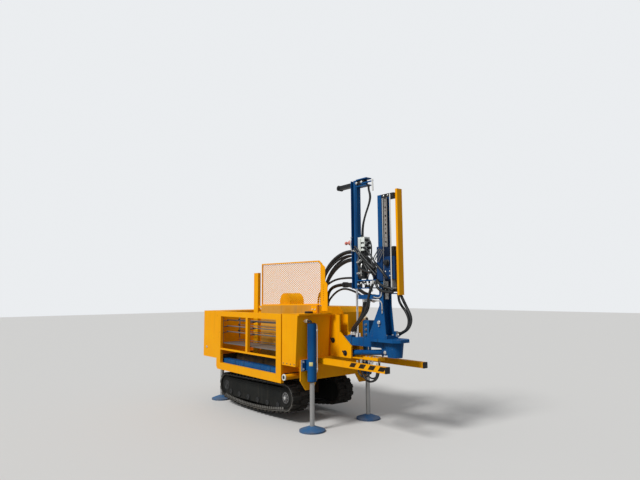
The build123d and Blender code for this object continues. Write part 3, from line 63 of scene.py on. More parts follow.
class Nodes:
    """Short way to place nodes in a tree and join them, with the newest node's main output as the value."""

    def __init__(self, tree):
        self.tree = tree

    def node(self, kind, **values):
        new = self.tree.nodes.new(kind)
        for key, value in values.items():
            self.put(new.inputs[key.replace("_", " ")], value)
        return new

    def put(self, socket, value):
        if isinstance(value, bpy.types.NodeSocket):
            self.tree.links.new(value, socket)
        elif isinstance(value, tuple) and len(value) == 3 and socket.type == "RGBA":
            socket.default_value = (*value, 1.0)
        else:
            socket.default_value = value

    def math(self, operation, first, second=0.0, clamp=False):
        new = self.tree.nodes.new("ShaderNodeMath")
        new.operation = operation
        new.use_clamp = clamp
        self.put(new.inputs[0], first)
        self.put(new.inputs[1], second)
        return new.outputs[0]

    def product(self, value, *others):
        for other in others:
            value = self.math("MULTIPLY", value, other)
        return value

    def place(self):
        return self.tree.nodes.new("ShaderNodeTexCoord").outputs["Object"]

    def axes(self, place):
        return self.node("ShaderNodeSeparateXYZ", Vector=place).outputs

    def noise(self, place, scale, detail=4.0, roughness=0.6):
        new = self.node("ShaderNodeTexNoise", Vector=place, Scale=scale, Detail=detail, Roughness=roughness)
        return new.outputs["Fac"]

    def stretched(self, place, x, y, z):
        return self.node("ShaderNodeMapping", Vector=place, Scale=(x, y, z)).outputs[0]

    def ramp(self, value, low, high):
        """Value carried from its low to its high edge onto nought to one."""
        new = self.tree.nodes.new("ShaderNodeMapRange")
        new.interpolation_type = "SMOOTHSTEP"
        for name, given in (("Value", value), ("From Min", low), ("From Max", high)):
            self.put(new.inputs[name], given)
        return new.outputs[0]

    def blend(self, share, first, second):
        new = self.tree.nodes.new("ShaderNodeMix")
        new.data_type = "RGBA"
        for name, given in (("Factor", share), ("A", first), ("B", second)):
            self.put(new.inputs[name], given)
        return new.outputs["Result"]


def set_camera():
    """Aim the camera by its heading, its tilt above the horizon and its roll about the line of sight."""
    camera = bpy.data.objects.new("camera", bpy.data.cameras.new("camera"))
    camera.data.sensor_width = SENSOR_WIDTH
    camera.data.lens = FOCAL_LENGTH
    camera.data.clip_end = FARTHEST
    quarter = math.pi / 2
    heading, tilt = Matrix.Rotation(EYE_YAW - quarter, 4, "Z"), Matrix.Rotation(EYE_PITCH + quarter, 4, "X")
    camera.matrix_world = Matrix.Translation(EYE_POINT) @ heading @ tilt @ Matrix.Rotation(EYE_ROLL, 4, "Z")
    bpy.context.collection.objects.link(camera)
    bpy.context.scene.camera = camera


def set_lights():
    """Wide soft lamp from the right and behind the camera, and an even pale sky."""
    bpy.context.scene.view_settings.view_transform = "Standard"
    lamp = bpy.data.objects.new("main_lamp", bpy.data.lights.new("main_lamp", "SUN"))
    lamp.data.energy = LAMP_ENERGY
    lamp.data.angle = LAMP_ANGLE
    lamp.rotation_euler = TO_LAMP.to_track_quat("Z", "Y").to_euler()
    bpy.context.collection.objects.link(lamp)
    world = bpy.data.worlds.new("pale_sky")
    bpy.context.scene.world = world
    world.use_nodes = True
    world.node_tree.nodes.clear()
    n = Nodes(world.node_tree)
    light = n.node("ShaderNodeBackground", Color=SKY_LIGHT, Strength=SKY_STRENGTH).outputs[0]
    shown = n.node("ShaderNodeBackground", Color=SKY_SHOWN, Strength=1.0).outputs[0]
    mix = n.node("ShaderNodeMixShader")
    for number, value in enumerate((n.node("ShaderNodeLightPath").outputs["Is Camera Ray"], light, shown)):
        n.put(mix.inputs[number], value)
    n.node("ShaderNodeOutputWorld", Surface=mix.outputs[0])


def make_floor():
    """Square pale floor, a flat grid of one face."""
    half = FLOOR_HALF
    mesh = bpy.data.meshes.new("floor")
    mesh.from_pydata([(-half, -half, 0.0), (half, -half, 0.0), (half, half, 0.0), (-half, half, 0.0)], [],
                     [(0, 1, 2, 3)])
    floor = bpy.data.objects.new("floor", mesh)
    bpy.context.collection.objects.link(floor)
    material = bpy.data.materials.new("pale_floor")
    material.use_nodes = True
    n = Nodes(material.node_tree)
    shader = material.node_tree.nodes["Principled BSDF"]
    path = n.node("ShaderNodeLightPath")
    shown = n.math("MAXIMUM", path.outputs["Is Camera Ray"], path.outputs["Is Glossy Ray"])
    n.put(shader.inputs["Base Color"], n.blend(shown, FLOOR_LIT, FLOOR_SHOWN))
    shader.inputs["Roughness"].default_value = FLOOR_ROUGHNESS
    mesh.materials.append(material)


# materials: one group of wear and dirt that all of them share, and a finish each
def make_weathering():
    """Wear of a standing machine: slow fading, short scuffs, streaks that run down and dust that thins with height."""
    group = bpy.data.node_groups.new("weathering", "ShaderNodeTree")
    for way, kind, names in (("INPUT", "Color", ("Coat", "Faded", "Bared", "Dust")),
                             ("INPUT", "Float", ("Fading", "Scuffs", "Streaks", "Dusting", "Dust Height")),
                             ("OUTPUT", "Color", ("Colour",)), ("OUTPUT", "Float", ("Wear", "Dirt", "Height"))):
        for name in names:
            group.interface.new_socket(name=name, in_out=way, socket_type="NodeSocket" + kind)
    n = Nodes(group)
    given = group.nodes.new("NodeGroupInput").outputs
    place = n.place()
    cloudy = n.ramp(n.noise(place, 2.3, 3.0), 0.38, 0.66)
    colour = n.blend(n.product(cloudy, given["Fading"]), given["Coat"], given["Faded"])
    running = n.ramp(n.noise(n.stretched(place, 26.0, 26.0, 1.3), 1.0, 3.0), 0.52, 0.74)
    running = n.product(running, given["Streaks"])
    fine, coarse = n.noise(place, 34.0, 6.0, 0.72), n.noise(place, 6.0, 3.0)
    scuffed = n.product(n.ramp(fine, 0.60, 0.66), n.ramp(coarse, 0.50, 0.62))
    scuffed = n.math("MULTIPLY", scuffed, given["Scuffs"], clamp=True)
    low = n.math("SUBTRACT", 1.0, n.math("DIVIDE", n.axes(place)["Z"], given["Dust Height"]), clamp=True)
    powder = n.product(n.ramp(n.noise(place, 9.0, 6.0, 0.7), 0.22, 0.72), low)
    powder = n.math("MULTIPLY", powder, given["Dusting"], clamp=True)
    dirt = n.math("MAXIMUM", powder, n.product(running, 0.6))
    for share, laid in ((running, "Dust"), (scuffed, "Bared"), (powder, "Dust")):
        colour = n.blend(share, colour, given[laid])
    height = n.math("SUBTRACT", n.product(n.noise(place, 210.0, 2.0), 0.35), scuffed)
    n.node("NodeGroupOutput", Colour=colour, Wear=scuffed, Dirt=dirt, Height=height)
    return group


weathering = make_weathering()

# roughness that dirt adds, uneven roughness of the coat and its scale, and the strength of the fine relief
DIRT_ROUGHENS, UNEVEN, UNEVEN_SCALE, RELIEF = 0.45, 0.14, 14.0, 0.7


def finish_of(name, coat, faded, bared, dust, roughness=0.4, metal=0.0, bare_metal=0.0, fading=0.5, scuffs=0.5,
              streaks=0.25, dusting=0.5, dust_height=0.8, bump=0.0006, gloss=0.2, mask=None,
              second=(0.01, 0.01, 0.01), grain=None):
    """Material of one finish: the weathering group feeds colour and roughness, mask lays a second colour over the
    coat, and grain adds fine lines along the given stretch of the pattern."""
    material = bpy.data.materials.new(name)
    material.use_nodes = True
    n = Nodes(material.node_tree)
    shader = material.node_tree.nodes["Principled BSDF"]
    place = n.place()
    group = material.node_tree.nodes.new("ShaderNodeGroup")
    group.node_tree = weathering
    if mask is not None:
        share = mask(n, place)
        coat, faded = n.blend(share, coat, second), n.blend(share, faded, second)
    for key, value in (("Coat", coat), ("Faded", faded), ("Bared", bared), ("Dust", dust), ("Fading", fading),
                       ("Scuffs", scuffs), ("Streaks", streaks), ("Dusting", dusting), ("Dust Height", dust_height)):
        n.put(group.inputs[key], value)
    wear, dirt, height = (group.outputs[key] for key in ("Wear", "Dirt", "Height"))
    rough = n.math("ADD", n.product(dirt, DIRT_ROUGHENS), roughness)
    spread = n.product(n.noise(place, UNEVEN_SCALE, 3.0), UNEVEN)
    shine = n.math("ADD", n.product(wear, bare_metal), metal)
    clean = n.math("SUBTRACT", 1.0, dirt, clamp=True)
    if grain is not None:
        height = n.math("ADD", height, n.noise(n.stretched(place, *grain), 1.0, 2.0))
    bumpy = n.node("ShaderNodeBump", Height=height, Distance=bump, Strength=RELIEF)
    for key, value in (("Base Color", group.outputs["Colour"]), ("Normal", bumpy.outputs[0]),
                       ("Roughness", n.math("ADD", rough, spread, clamp=True)),
                       ("Metallic", n.math("MULTIPLY", shine, clean, clamp=True)), ("Specular IOR Level", gloss)):
        n.put(shader.inputs[key], value)
    return material


# slanting black bars on the outer face of each fork beam
BAR_FIRST_X, BAR_PITCH, BAR_LENGTH, BAR_COUNT = 1.225, 0.145, 0.085, 4
BAR_MIDDLE_Z, BAR_HALF_HEIGHT, BAR_LEAN = 0.789, 0.024, 0.8
BAR_OUTER_Y = 0.3285
# painted shade: near-black colour on the frame's rails between these places, inside the open bays where they lie in
# shade
RAIL_FROM_X, RAIL_TO_X, RAIL_HALF_Y = -1.262, 0.235, 0.56
# half the width of the rack's bright teeth, beyond which its sides carry painted shade of the mast's channel, and the
# top of the valve block's dark foot
TEETH_HALF_Y, FOOT_TOP_Z = 0.026, 2.068


def beam_bars(n, place):
    """One inside a bar: the place along the beam, sheared by its height, repeats by the pitch between both end bars."""
    x, y, z = (n.axes(place)[name] for name in "XYZ")
    above = n.math("SUBTRACT", z, BAR_MIDDLE_Z)
    along = n.math("SUBTRACT", n.math("SUBTRACT", x, BAR_FIRST_X), n.product(above, BAR_LEAN))
    return n.product(n.math("LESS_THAN", n.math("FLOORED_MODULO", along, BAR_PITCH), BAR_LENGTH),
                     n.math("GREATER_THAN", along, 0.0), n.math("LESS_THAN", along, BAR_PITCH * BAR_COUNT),
                     n.math("LESS_THAN", n.math("ABSOLUTE", above), BAR_HALF_HEIGHT),
                     n.math("GREATER_THAN", n.math("ABSOLUTE", y), BAR_OUTER_Y))


def bay_rails_painted_shade(n, place):
    """Painted shade: one between both ends of the open bays and inside their width, where the rails lie in shade,
    nought elsewhere.
    """
    x, y = (n.axes(place)[name] for name in "XY")
    return n.product(n.math("GREATER_THAN", x, RAIL_FROM_X), n.math("LESS_THAN", x, RAIL_TO_X),
                     n.math("LESS_THAN", n.math("ABSOLUTE", y), RAIL_HALF_Y))


def rack_channel_shade(n, place):
    """Painted shade: one beside the bright toothed bar in the middle of the mast's channel, where the channel's gaps
    lie in shade.
    """
    return n.math("GREATER_THAN", n.math("ABSOLUTE", n.axes(place)["Y"]), TEETH_HALF_Y)


def dark_foot(n, place):
    """One on the lower part of the valve block, below the white bodies."""
    return n.math("LESS_THAN", n.axes(place)["Z"], FOOT_TOP_Z)


# finishes: name, its colours as coated, faded, bared and dusty, and its settings
RUST, GREASE, STEEL_BARED = (0.10, 0.045, 0.02), (0.012, 0.011, 0.010), (0.22, 0.23, 0.24)
YELLOWS = ((0.90, 0.368, 0.0), (0.92, 0.42, 0.002), RUST, (0.50, 0.24, 0.03))
SMALL_PART = dict(dusting=0.0, bump=0.0003)
YELLOW_WEAR = dict(fading=0.6, scuffs=0.35, streaks=0.16, dusting=0.3, dust_height=1.0, gloss=0.08)
FINISHES = (
    ("yellow_paint", YELLOWS, YELLOW_WEAR),
    # the frame's yellow, with painted shade on the rails inside the open bays
    ("frame_yellow_and_bay_shade", YELLOWS, dict(YELLOW_WEAR, mask=bay_rails_painted_shade, second=(0.022, 0.020, 0.018))),
    # the inner wall's yellow, painted darker for the shade it stands in, with fading, streaks and dust
    ("wall_yellow_shaded", ((0.60, 0.25, 0.012), (0.66, 0.32, 0.05), RUST, (0.34, 0.20, 0.07)),
     dict(roughness=0.5, fading=0.8, streaks=0.5, dust_height=1.6, gloss=0.12)),
    ("striped_paint", YELLOWS, dict(YELLOW_WEAR, scuffs=0.6, streaks=0.1, mask=beam_bars)),
    ("blue_paint", ((0.0025, 0.068, 0.225), (0.008, 0.095, 0.26), STEEL_BARED, GREASE),
     dict(roughness=0.38, bare_metal=0.7, fading=0.7, scuffs=0.45, streaks=0.5, dusting=0.0, gloss=0.12)),
    ("greasy_blue", ((0.002, 0.034, 0.120), (0.004, 0.055, 0.17), STEEL_BARED, GREASE),
     dict(roughness=0.42, bare_metal=0.7, fading=0.8, scuffs=0.7, streaks=1.0, dusting=0.0, gloss=0.25)),
    ("pad_paint", ((0.010, 0.092, 0.25), (0.02, 0.13, 0.28), (0.16, 0.16, 0.16), (0.17, 0.15, 0.13)),
     dict(roughness=0.5, fading=0.6, scuffs=0.7, streaks=0.0, dusting=0.8, dust_height=0.10)),
    ("black_paint", ((0.009, 0.010, 0.011), (0.018, 0.020, 0.023), (0.08, 0.08, 0.08), (0.03, 0.028, 0.025)),
     dict(roughness=0.42, bare_metal=0.5, dusting=0.4, gloss=0.35)),
    ("frame_paint", ((0.006, 0.0072, 0.0070), (0.011, 0.0125, 0.012), (0.05, 0.045, 0.04), (0.045, 0.041, 0.034)),
     dict(roughness=0.6, fading=0.8, scuffs=0.4, streaks=0.4, dust_height=0.45, bump=0.0015, gloss=0.12)),
    ("track_rubber", ((0.0085, 0.0085, 0.0085), (0.017, 0.0168, 0.016), (0.026, 0.025, 0.023), (0.075, 0.064, 0.048)),
     dict(roughness=0.74, fading=0.7, streaks=0.2, dusting=0.6, dust_height=0.5, bump=0.002, gloss=0.25,
          grain=(40.0, 160.0, 40.0))),
    ("bright_steel", ((0.36, 0.36, 0.355), (0.44, 0.44, 0.43), (0.25, 0.25, 0.25), (0.26, 0.245, 0.22)),
     dict(roughness=0.34, metal=0.7, streaks=0.3, dusting=0.35, dust_height=0.5, bump=0.0002, gloss=0.4,
          grain=(6.0, 6.0, 420.0))),
    # the rack's bright teeth, with painted shade on both sides for the dark gaps of the channel
    ("rack_steel_and_channel_shade", ((0.86, 0.85, 0.80), (0.90, 0.89, 0.85), (0.3, 0.28, 0.25), (0.25, 0.23, 0.2)),
     dict(SMALL_PART, roughness=0.5, streaks=0.4, gloss=0.4, mask=rack_channel_shade, second=(0.012, 0.013, 0.016),
          grain=(90.0, 260.0, 4.0))),
    ("chrome", ((0.78, 0.78, 0.77), (0.84, 0.84, 0.83), (0.5, 0.5, 0.5), (0.3, 0.3, 0.28)),
     dict(roughness=0.10, metal=1.0, streaks=0.05, scuffs=0.1, dusting=0.0, bump=0.0001, gloss=0.5)),
    ("grey_steel", ((0.17, 0.17, 0.165), (0.25, 0.24, 0.23), (0.10, 0.06, 0.04), (0.16, 0.145, 0.12)),
     dict(roughness=0.45, metal=0.7, fading=0.8, gloss=0.35, grain=(60.0, 200.0, 60.0))),
    ("hub_steel", ((0.115, 0.115, 0.118), (0.17, 0.17, 0.172), (0.09, 0.06, 0.05), (0.10, 0.09, 0.08)),
     dict(roughness=0.5, metal=0.4, fading=0.8, dusting=0.3, dust_height=0.5, gloss=0.3)),
    ("zinc", ((0.60, 0.60, 0.57), (0.70, 0.70, 0.67), (0.4, 0.4, 0.4), (0.3, 0.28, 0.25)),
     dict(SMALL_PART, roughness=0.3, metal=0.7, streaks=0.1, gloss=0.5)),
    ("brass", ((0.84, 0.72, 0.50), (0.88, 0.79, 0.60), (0.3, 0.22, 0.1), (0.2, 0.16, 0.1)),
     dict(SMALL_PART, roughness=0.35, metal=0.1, gloss=0.4)),
    ("white_plastic", ((0.66, 0.68, 0.62), (0.74, 0.75, 0.70), (0.4, 0.4, 0.38), (0.2, 0.19, 0.16)),
     dict(SMALL_PART, roughness=0.42, streaks=0.5, gloss=0.3)),
    ("valve_white", ((0.76, 0.80, 0.74), (0.84, 0.86, 0.80), (0.3, 0.3, 0.3), (0.03, 0.03, 0.03)),
     dict(SMALL_PART, roughness=0.42, streaks=0.35, gloss=0.3, mask=dark_foot, second=(0.02, 0.021, 0.024))),
    ("red_plastic", ((0.60, 0.15, 0.11), (0.74, 0.34, 0.28), (0.4, 0.1, 0.1), (0.2, 0.1, 0.1)),
     dict(roughness=0.35, fading=0.8, dusting=0.0, streaks=0.0, bump=0.0002, gloss=0.3)),
    ("black_plastic", ((0.010, 0.010, 0.010), (0.018, 0.018, 0.018), (0.03, 0.03, 0.03), (0.08, 0.075, 0.07)),
     dict(roughness=0.5, dusting=0.2, gloss=0.35)),
    ("hose_rubber", ((0.0075, 0.0088, 0.0092), (0.015, 0.0175, 0.018), (0.03, 0.032, 0.033), (0.03, 0.030, 0.028)),
     dict(roughness=0.34, fading=0.6, scuffs=0.2, streaks=0.1, dusting=0.1, bump=0.0004, gloss=0.5,
          grain=(120.0, 120.0, 120.0))),
    ("plate_paint", ((0.62, 0.55, 0.20), (0.70, 0.64, 0.30), (0.3, 0.28, 0.2), (0.3, 0.25, 0.2)),
     dict(dusting=0.0, bump=0.0002, gloss=0.3)),
    ("white_pipe", ((0.74, 0.73, 0.68), (0.80, 0.79, 0.75), (0.3, 0.3, 0.28), (0.2, 0.19, 0.16)),
     dict(SMALL_PART, streaks=0.4, gloss=0.35)),
    ("tooth_steel", ((0.17, 0.165, 0.15), (0.26, 0.25, 0.235), (0.24, 0.23, 0.22), (0.10, 0.088, 0.068)),
     dict(roughness=0.5, metal=0.3, fading=0.8, scuffs=0.8, dusting=0.4, dust_height=0.5, gloss=0.35)),
)
finishes = {name: finish_of(name, *colours, **settings) for name, colours, settings in FINISHES}

# finishes that share another one's slot, and the first words of the names of the model's solids that each one dresses
DRESSED = {
    "yellow_paint": "cross_tube side_frame rear_cabinet front_tank guard engine_housing arm_stand tower_guard",
    "frame_yellow_and_bay_shade": "main_frame", "wall_yellow_shaded": "inner_wall", "striped_paint": "fork_beams",
    "blue_paint": "support_beam leg_sleeve leg_brackets tower_arm tower_platform rod_guide mast tilt_barrel "
                  "feed_column column_links",
    "greasy_blue": "carriage drill_head", "pad_paint": "leg_pad", "black_plastic": "beam_caps",
    "black_paint": "guard_brackets hose_sheaves", "frame_paint": "track_frame drive_hub",
    "track_rubber": "crawler_track", "bright_steel": "leg_rod", "rack_steel_and_channel_shade": "mast_rack",
    "chrome": "feed_rod tilt_rod", "grey_steel": "rod_rack spindle hose_elbows", "valve_white": "valve_block",
    "hose_rubber": "hose",
}


def dress_nodes():
    """Give each solid of the model the finish with the longest name that begins its own."""
    starts = [(start, finish) for finish, names in DRESSED.items() for start in names.split()]
    for name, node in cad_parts.items():
        finish = max((entry for entry in starts if name.startswith(entry[0])), key=lambda entry: len(entry[0]))[1]
        for place in node.material_slots:
            place.material = finishes[finish]


# surfaces: each is a pair of points and faces, and several of them make one piece
def mm(*rows):
    """Rows of numbers given in millimetres, in metres."""
    return (np.array(rows, float) / 1000).tolist()


def corners_of(node):
    """Lowest and highest corner of one of the model's solids."""
    return np.array([list(corner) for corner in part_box(node)])


def outer_y(node, outward):
    """Side face of a solid that looks outwards."""
    return corners_of(node)[0 if outward < 0 else 1][1]


def skin(rows, columns):
    """Faces of a grid that wraps round its columns: four-cornered between rows, with a flat cap on both end rows."""
    index = np.arange(rows * columns).reshape(rows, columns)
    after = np.roll(index, -1, axis=1)
    quads = np.stack([index[:-1], after[:-1], after[1:], index[1:]], axis=-1).reshape(-1, 4).tolist()
    return quads + [index[0, ::-1].tolist(), index[-1].tolist()]


def unit(vectors):
    return vectors / np.linalg.norm(vectors, axis=-1, keepdims=True)


def tube(line, radius, sides, offset=0.0, phase=0.0, twist=0.0):
    """Round profile carried along a line. A point is the line, plus offset along a direction that turns by twist per
    metre, plus radius times the cosine of its angle to the side and the sine upwards. Both ends are closed."""
    line = np.asarray(line, float)
    ahead = unit(np.gradient(line, axis=0))
    spread = line - line.mean(axis=0)
    across = np.linalg.svd(spread)[2][-1]
    side = unit(np.cross(ahead, across))
    up = np.cross(side, ahead)
    run = np.concatenate([[0.0], np.cumsum(np.linalg.norm(np.diff(line, axis=0), axis=1))])
    lean = (phase + twist * run)[:, None]
    centre = line + offset * (np.cos(lean) * side + np.sin(lean) * up)
    angle = np.linspace(0.0, 2 * np.pi, sides, endpoint=False)[None, :, None]
    points = centre[:, None] + radius * (np.cos(angle) * side[:, None] + np.sin(angle) * up[:, None])
    return points.reshape(-1, 3), skin(len(line), sides)


def turned(foot, axis, profile, sides):
    """Turned shape: profile pairs of radius and height go round the axis from its foot. A point is the foot plus the
    height along the axis plus the radius times cosine and sine on two lines across it."""
    axis = unit(np.asarray(axis, float))
    across = unit(np.cross(axis, UP if abs(axis[2]) < 0.9 else AHEAD))
    up = np.cross(axis, across)
    profile = np.asarray(profile, float)
    angle = np.linspace(0.0, 2 * np.pi, sides, endpoint=False)
    ring = np.cos(angle)[:, None] * across + np.sin(angle)[:, None] * up
    points = np.asarray(foot, float) + profile[:, 1, None, None] * axis + profile[:, 0, None, None] * ring
    return points.reshape(-1, 3), skin(len(profile), sides)


def plate(outline, foot, across, up, thickness, edge=0.0015):
    """Flat outline of pairs with its thickness and a small bevel on both rims: the outline is drawn in towards its
    middle by the edge on the first and last of four rings."""
    outline = np.asarray(outline, float)
    middle = outline.mean(axis=0)
    inward = middle + (outline - middle) * (1 - edge / np.abs(outline - middle).max(axis=0).clip(4 * edge))
    across, up = unit(np.asarray(across, float)), unit(np.asarray(up, float))
    normal = np.cross(across, up)
    rings = [(inward, 0.0), (outline, edge), (outline, thickness - edge), (inward, thickness)]
    points = [np.asarray(foot, float) + ring[:, :1] * across + ring[:, 1:] * up + depth * normal
              for ring, depth in rings]
    return np.concatenate(points), skin(4, len(outline))


def clipped(low, high, cut):
    """Outline of a rectangle between two corners with its own corners cut off."""
    (x0, y0), (x1, y1) = low, high
    return [(x0 + cut, y0), (x1 - cut, y0), (x1, y0 + cut), (x1, y1 - cut), (x1 - cut, y1), (x0 + cut, y1),
            (x0, y1 - cut), (x0, y0 + cut)]


def box(low, high, edge=0.002):
    """Square block between two corners with eased long edges."""
    cut = min(edge * 1.5, (high[0] - low[0]) / 3, (high[1] - low[1]) / 3)
    return plate(clipped(low[:2], high[:2], cut), (0, 0, low[2]), AHEAD, (0, 1, 0), high[2] - low[2], edge)


def hex_bolts(places, axis, size):
    """Washers with six-sided heads, one at each place, their height along the axis and their size across corners."""
    washer = [(0.62 * size, 0.0), (0.62 * size, 0.10 * size), (0.5 * size, 0.12 * size)]
    head = [(0.5 * size, 0.10 * size), (0.5 * size, 0.42 * size), (0.42 * size, 0.48 * size)]
    return [turned(place, axis, *shape) for place in places for shape in ((washer, 16), (head, 6))]


# faces that meet at a greater angle keep a sharp edge
SHARP_ANGLE = math.radians(40.0)


def add_piece(name, shapes, finish, body="chassis"):
    """Join surfaces into one mesh in place, turn its faces outwards and let it ride on a body."""
    points = np.concatenate([shape[0] for shape in shapes])
    starts = np.cumsum([0] + [len(shape[0]) for shape in shapes[:-1]])
    faces = [[start + corner for corner in face] for start, shape in zip(starts.tolist(), shapes) for face in shape[1]]
    mesh = bpy.data.meshes.new(name)
    mesh.from_pydata(points.tolist(), [], faces)
    work = bmesh.new()
    work.from_mesh(mesh)
    bmesh.ops.recalc_face_normals(work, faces=work.faces)
    work.to_mesh(mesh)
    work.free()
    mesh.shade_smooth()
    mesh.set_sharp_from_angle(angle=SHARP_ANGLE)
    mesh.materials.append(finishes[finish])
    piece = bpy.data.objects.new(name, mesh)
    bpy.context.collection.objects.link(piece)
    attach(piece, body)
    return piece


# hoses: name, body, bundle and strand diameters, strands, real length, far end, stiffness, route through its corners,
# all in millimetres
HOSES = (
    ("hose_arch_upper", "chassis", 56, 25.5, 3, 1681, "fitting", "stiff",
     ((20, 262, 1400), (20, 262, 1600), (86, 260, 1850), (300, 256, 2036), (590, 246, 2118), (860, 237, 2062),
      (1040, 226, 1935), (1130, 226, 1800))),
    ("hose_arch_middle", "chassis", 56, 25.5, 3, 1484, "fitting", "stiff",
     ((84, 262, 1400), (84, 262, 1530), (130, 260, 1735), (350, 254, 1925), (620, 246, 2012), (870, 236, 1965),
      (1030, 226, 1850), (1105, 226, 1735))),
    ("hose_arch_lower", "chassis", 48, 22, 3, 1231, "fitting", "medium",
     ((60, 322, 1400), (60, 322, 1480), (92, 316, 1572), (165, 304, 1640), (320, 282, 1678), (520, 262, 1686),
      (740, 244, 1640), (940, 226, 1548), (1090, 226, 1525))),
    ("hose_drop", "tower", 40, 18, 3, 503, "object", "medium",
     ((1150, 48, 1500), (1150, 48, 1430), (1113, 47, 1355), (1045, 46, 1292), (962, 36, 1225), (925, 30, 1150),
      (925, 30, 1080))),
    ("hose_column", "feed", 24, 24, 1, 639, "object", "medium",
     ((1215, 10, 2838), (1215, 10, 2785), (1238, 10, 2735), (1243, 10, 2680), (1205, 10, 2590), (1145, 10, 2480),
      (1104, 10, 2350), (1104, 10, 2230))),
    ("hose_side", "tower", 28, 28, 1, 576, "object", "medium",
     ((1566, 100, 1556), (1566, 100, 1495), (1600, 101, 1435), (1658, 103, 1375), (1702, 104, 1300),
      (1705, 103, 1240), (1688, 98, 1185), (1640, 91, 1140), (1590, 88, 1125), (1545, 88, 1125))),
    ("hose_loop", "chassis", 20, 20, 1, 660, "object", "medium",
     ((1045, 0, 816), (1045, 0, 740), (1070, -4, 650), (1120, -8, 590), (1195, -8, 565), (1275, -6, 580),
      (1330, -3, 635), (1350, 0, 735), (1350, 0, 816))),
)

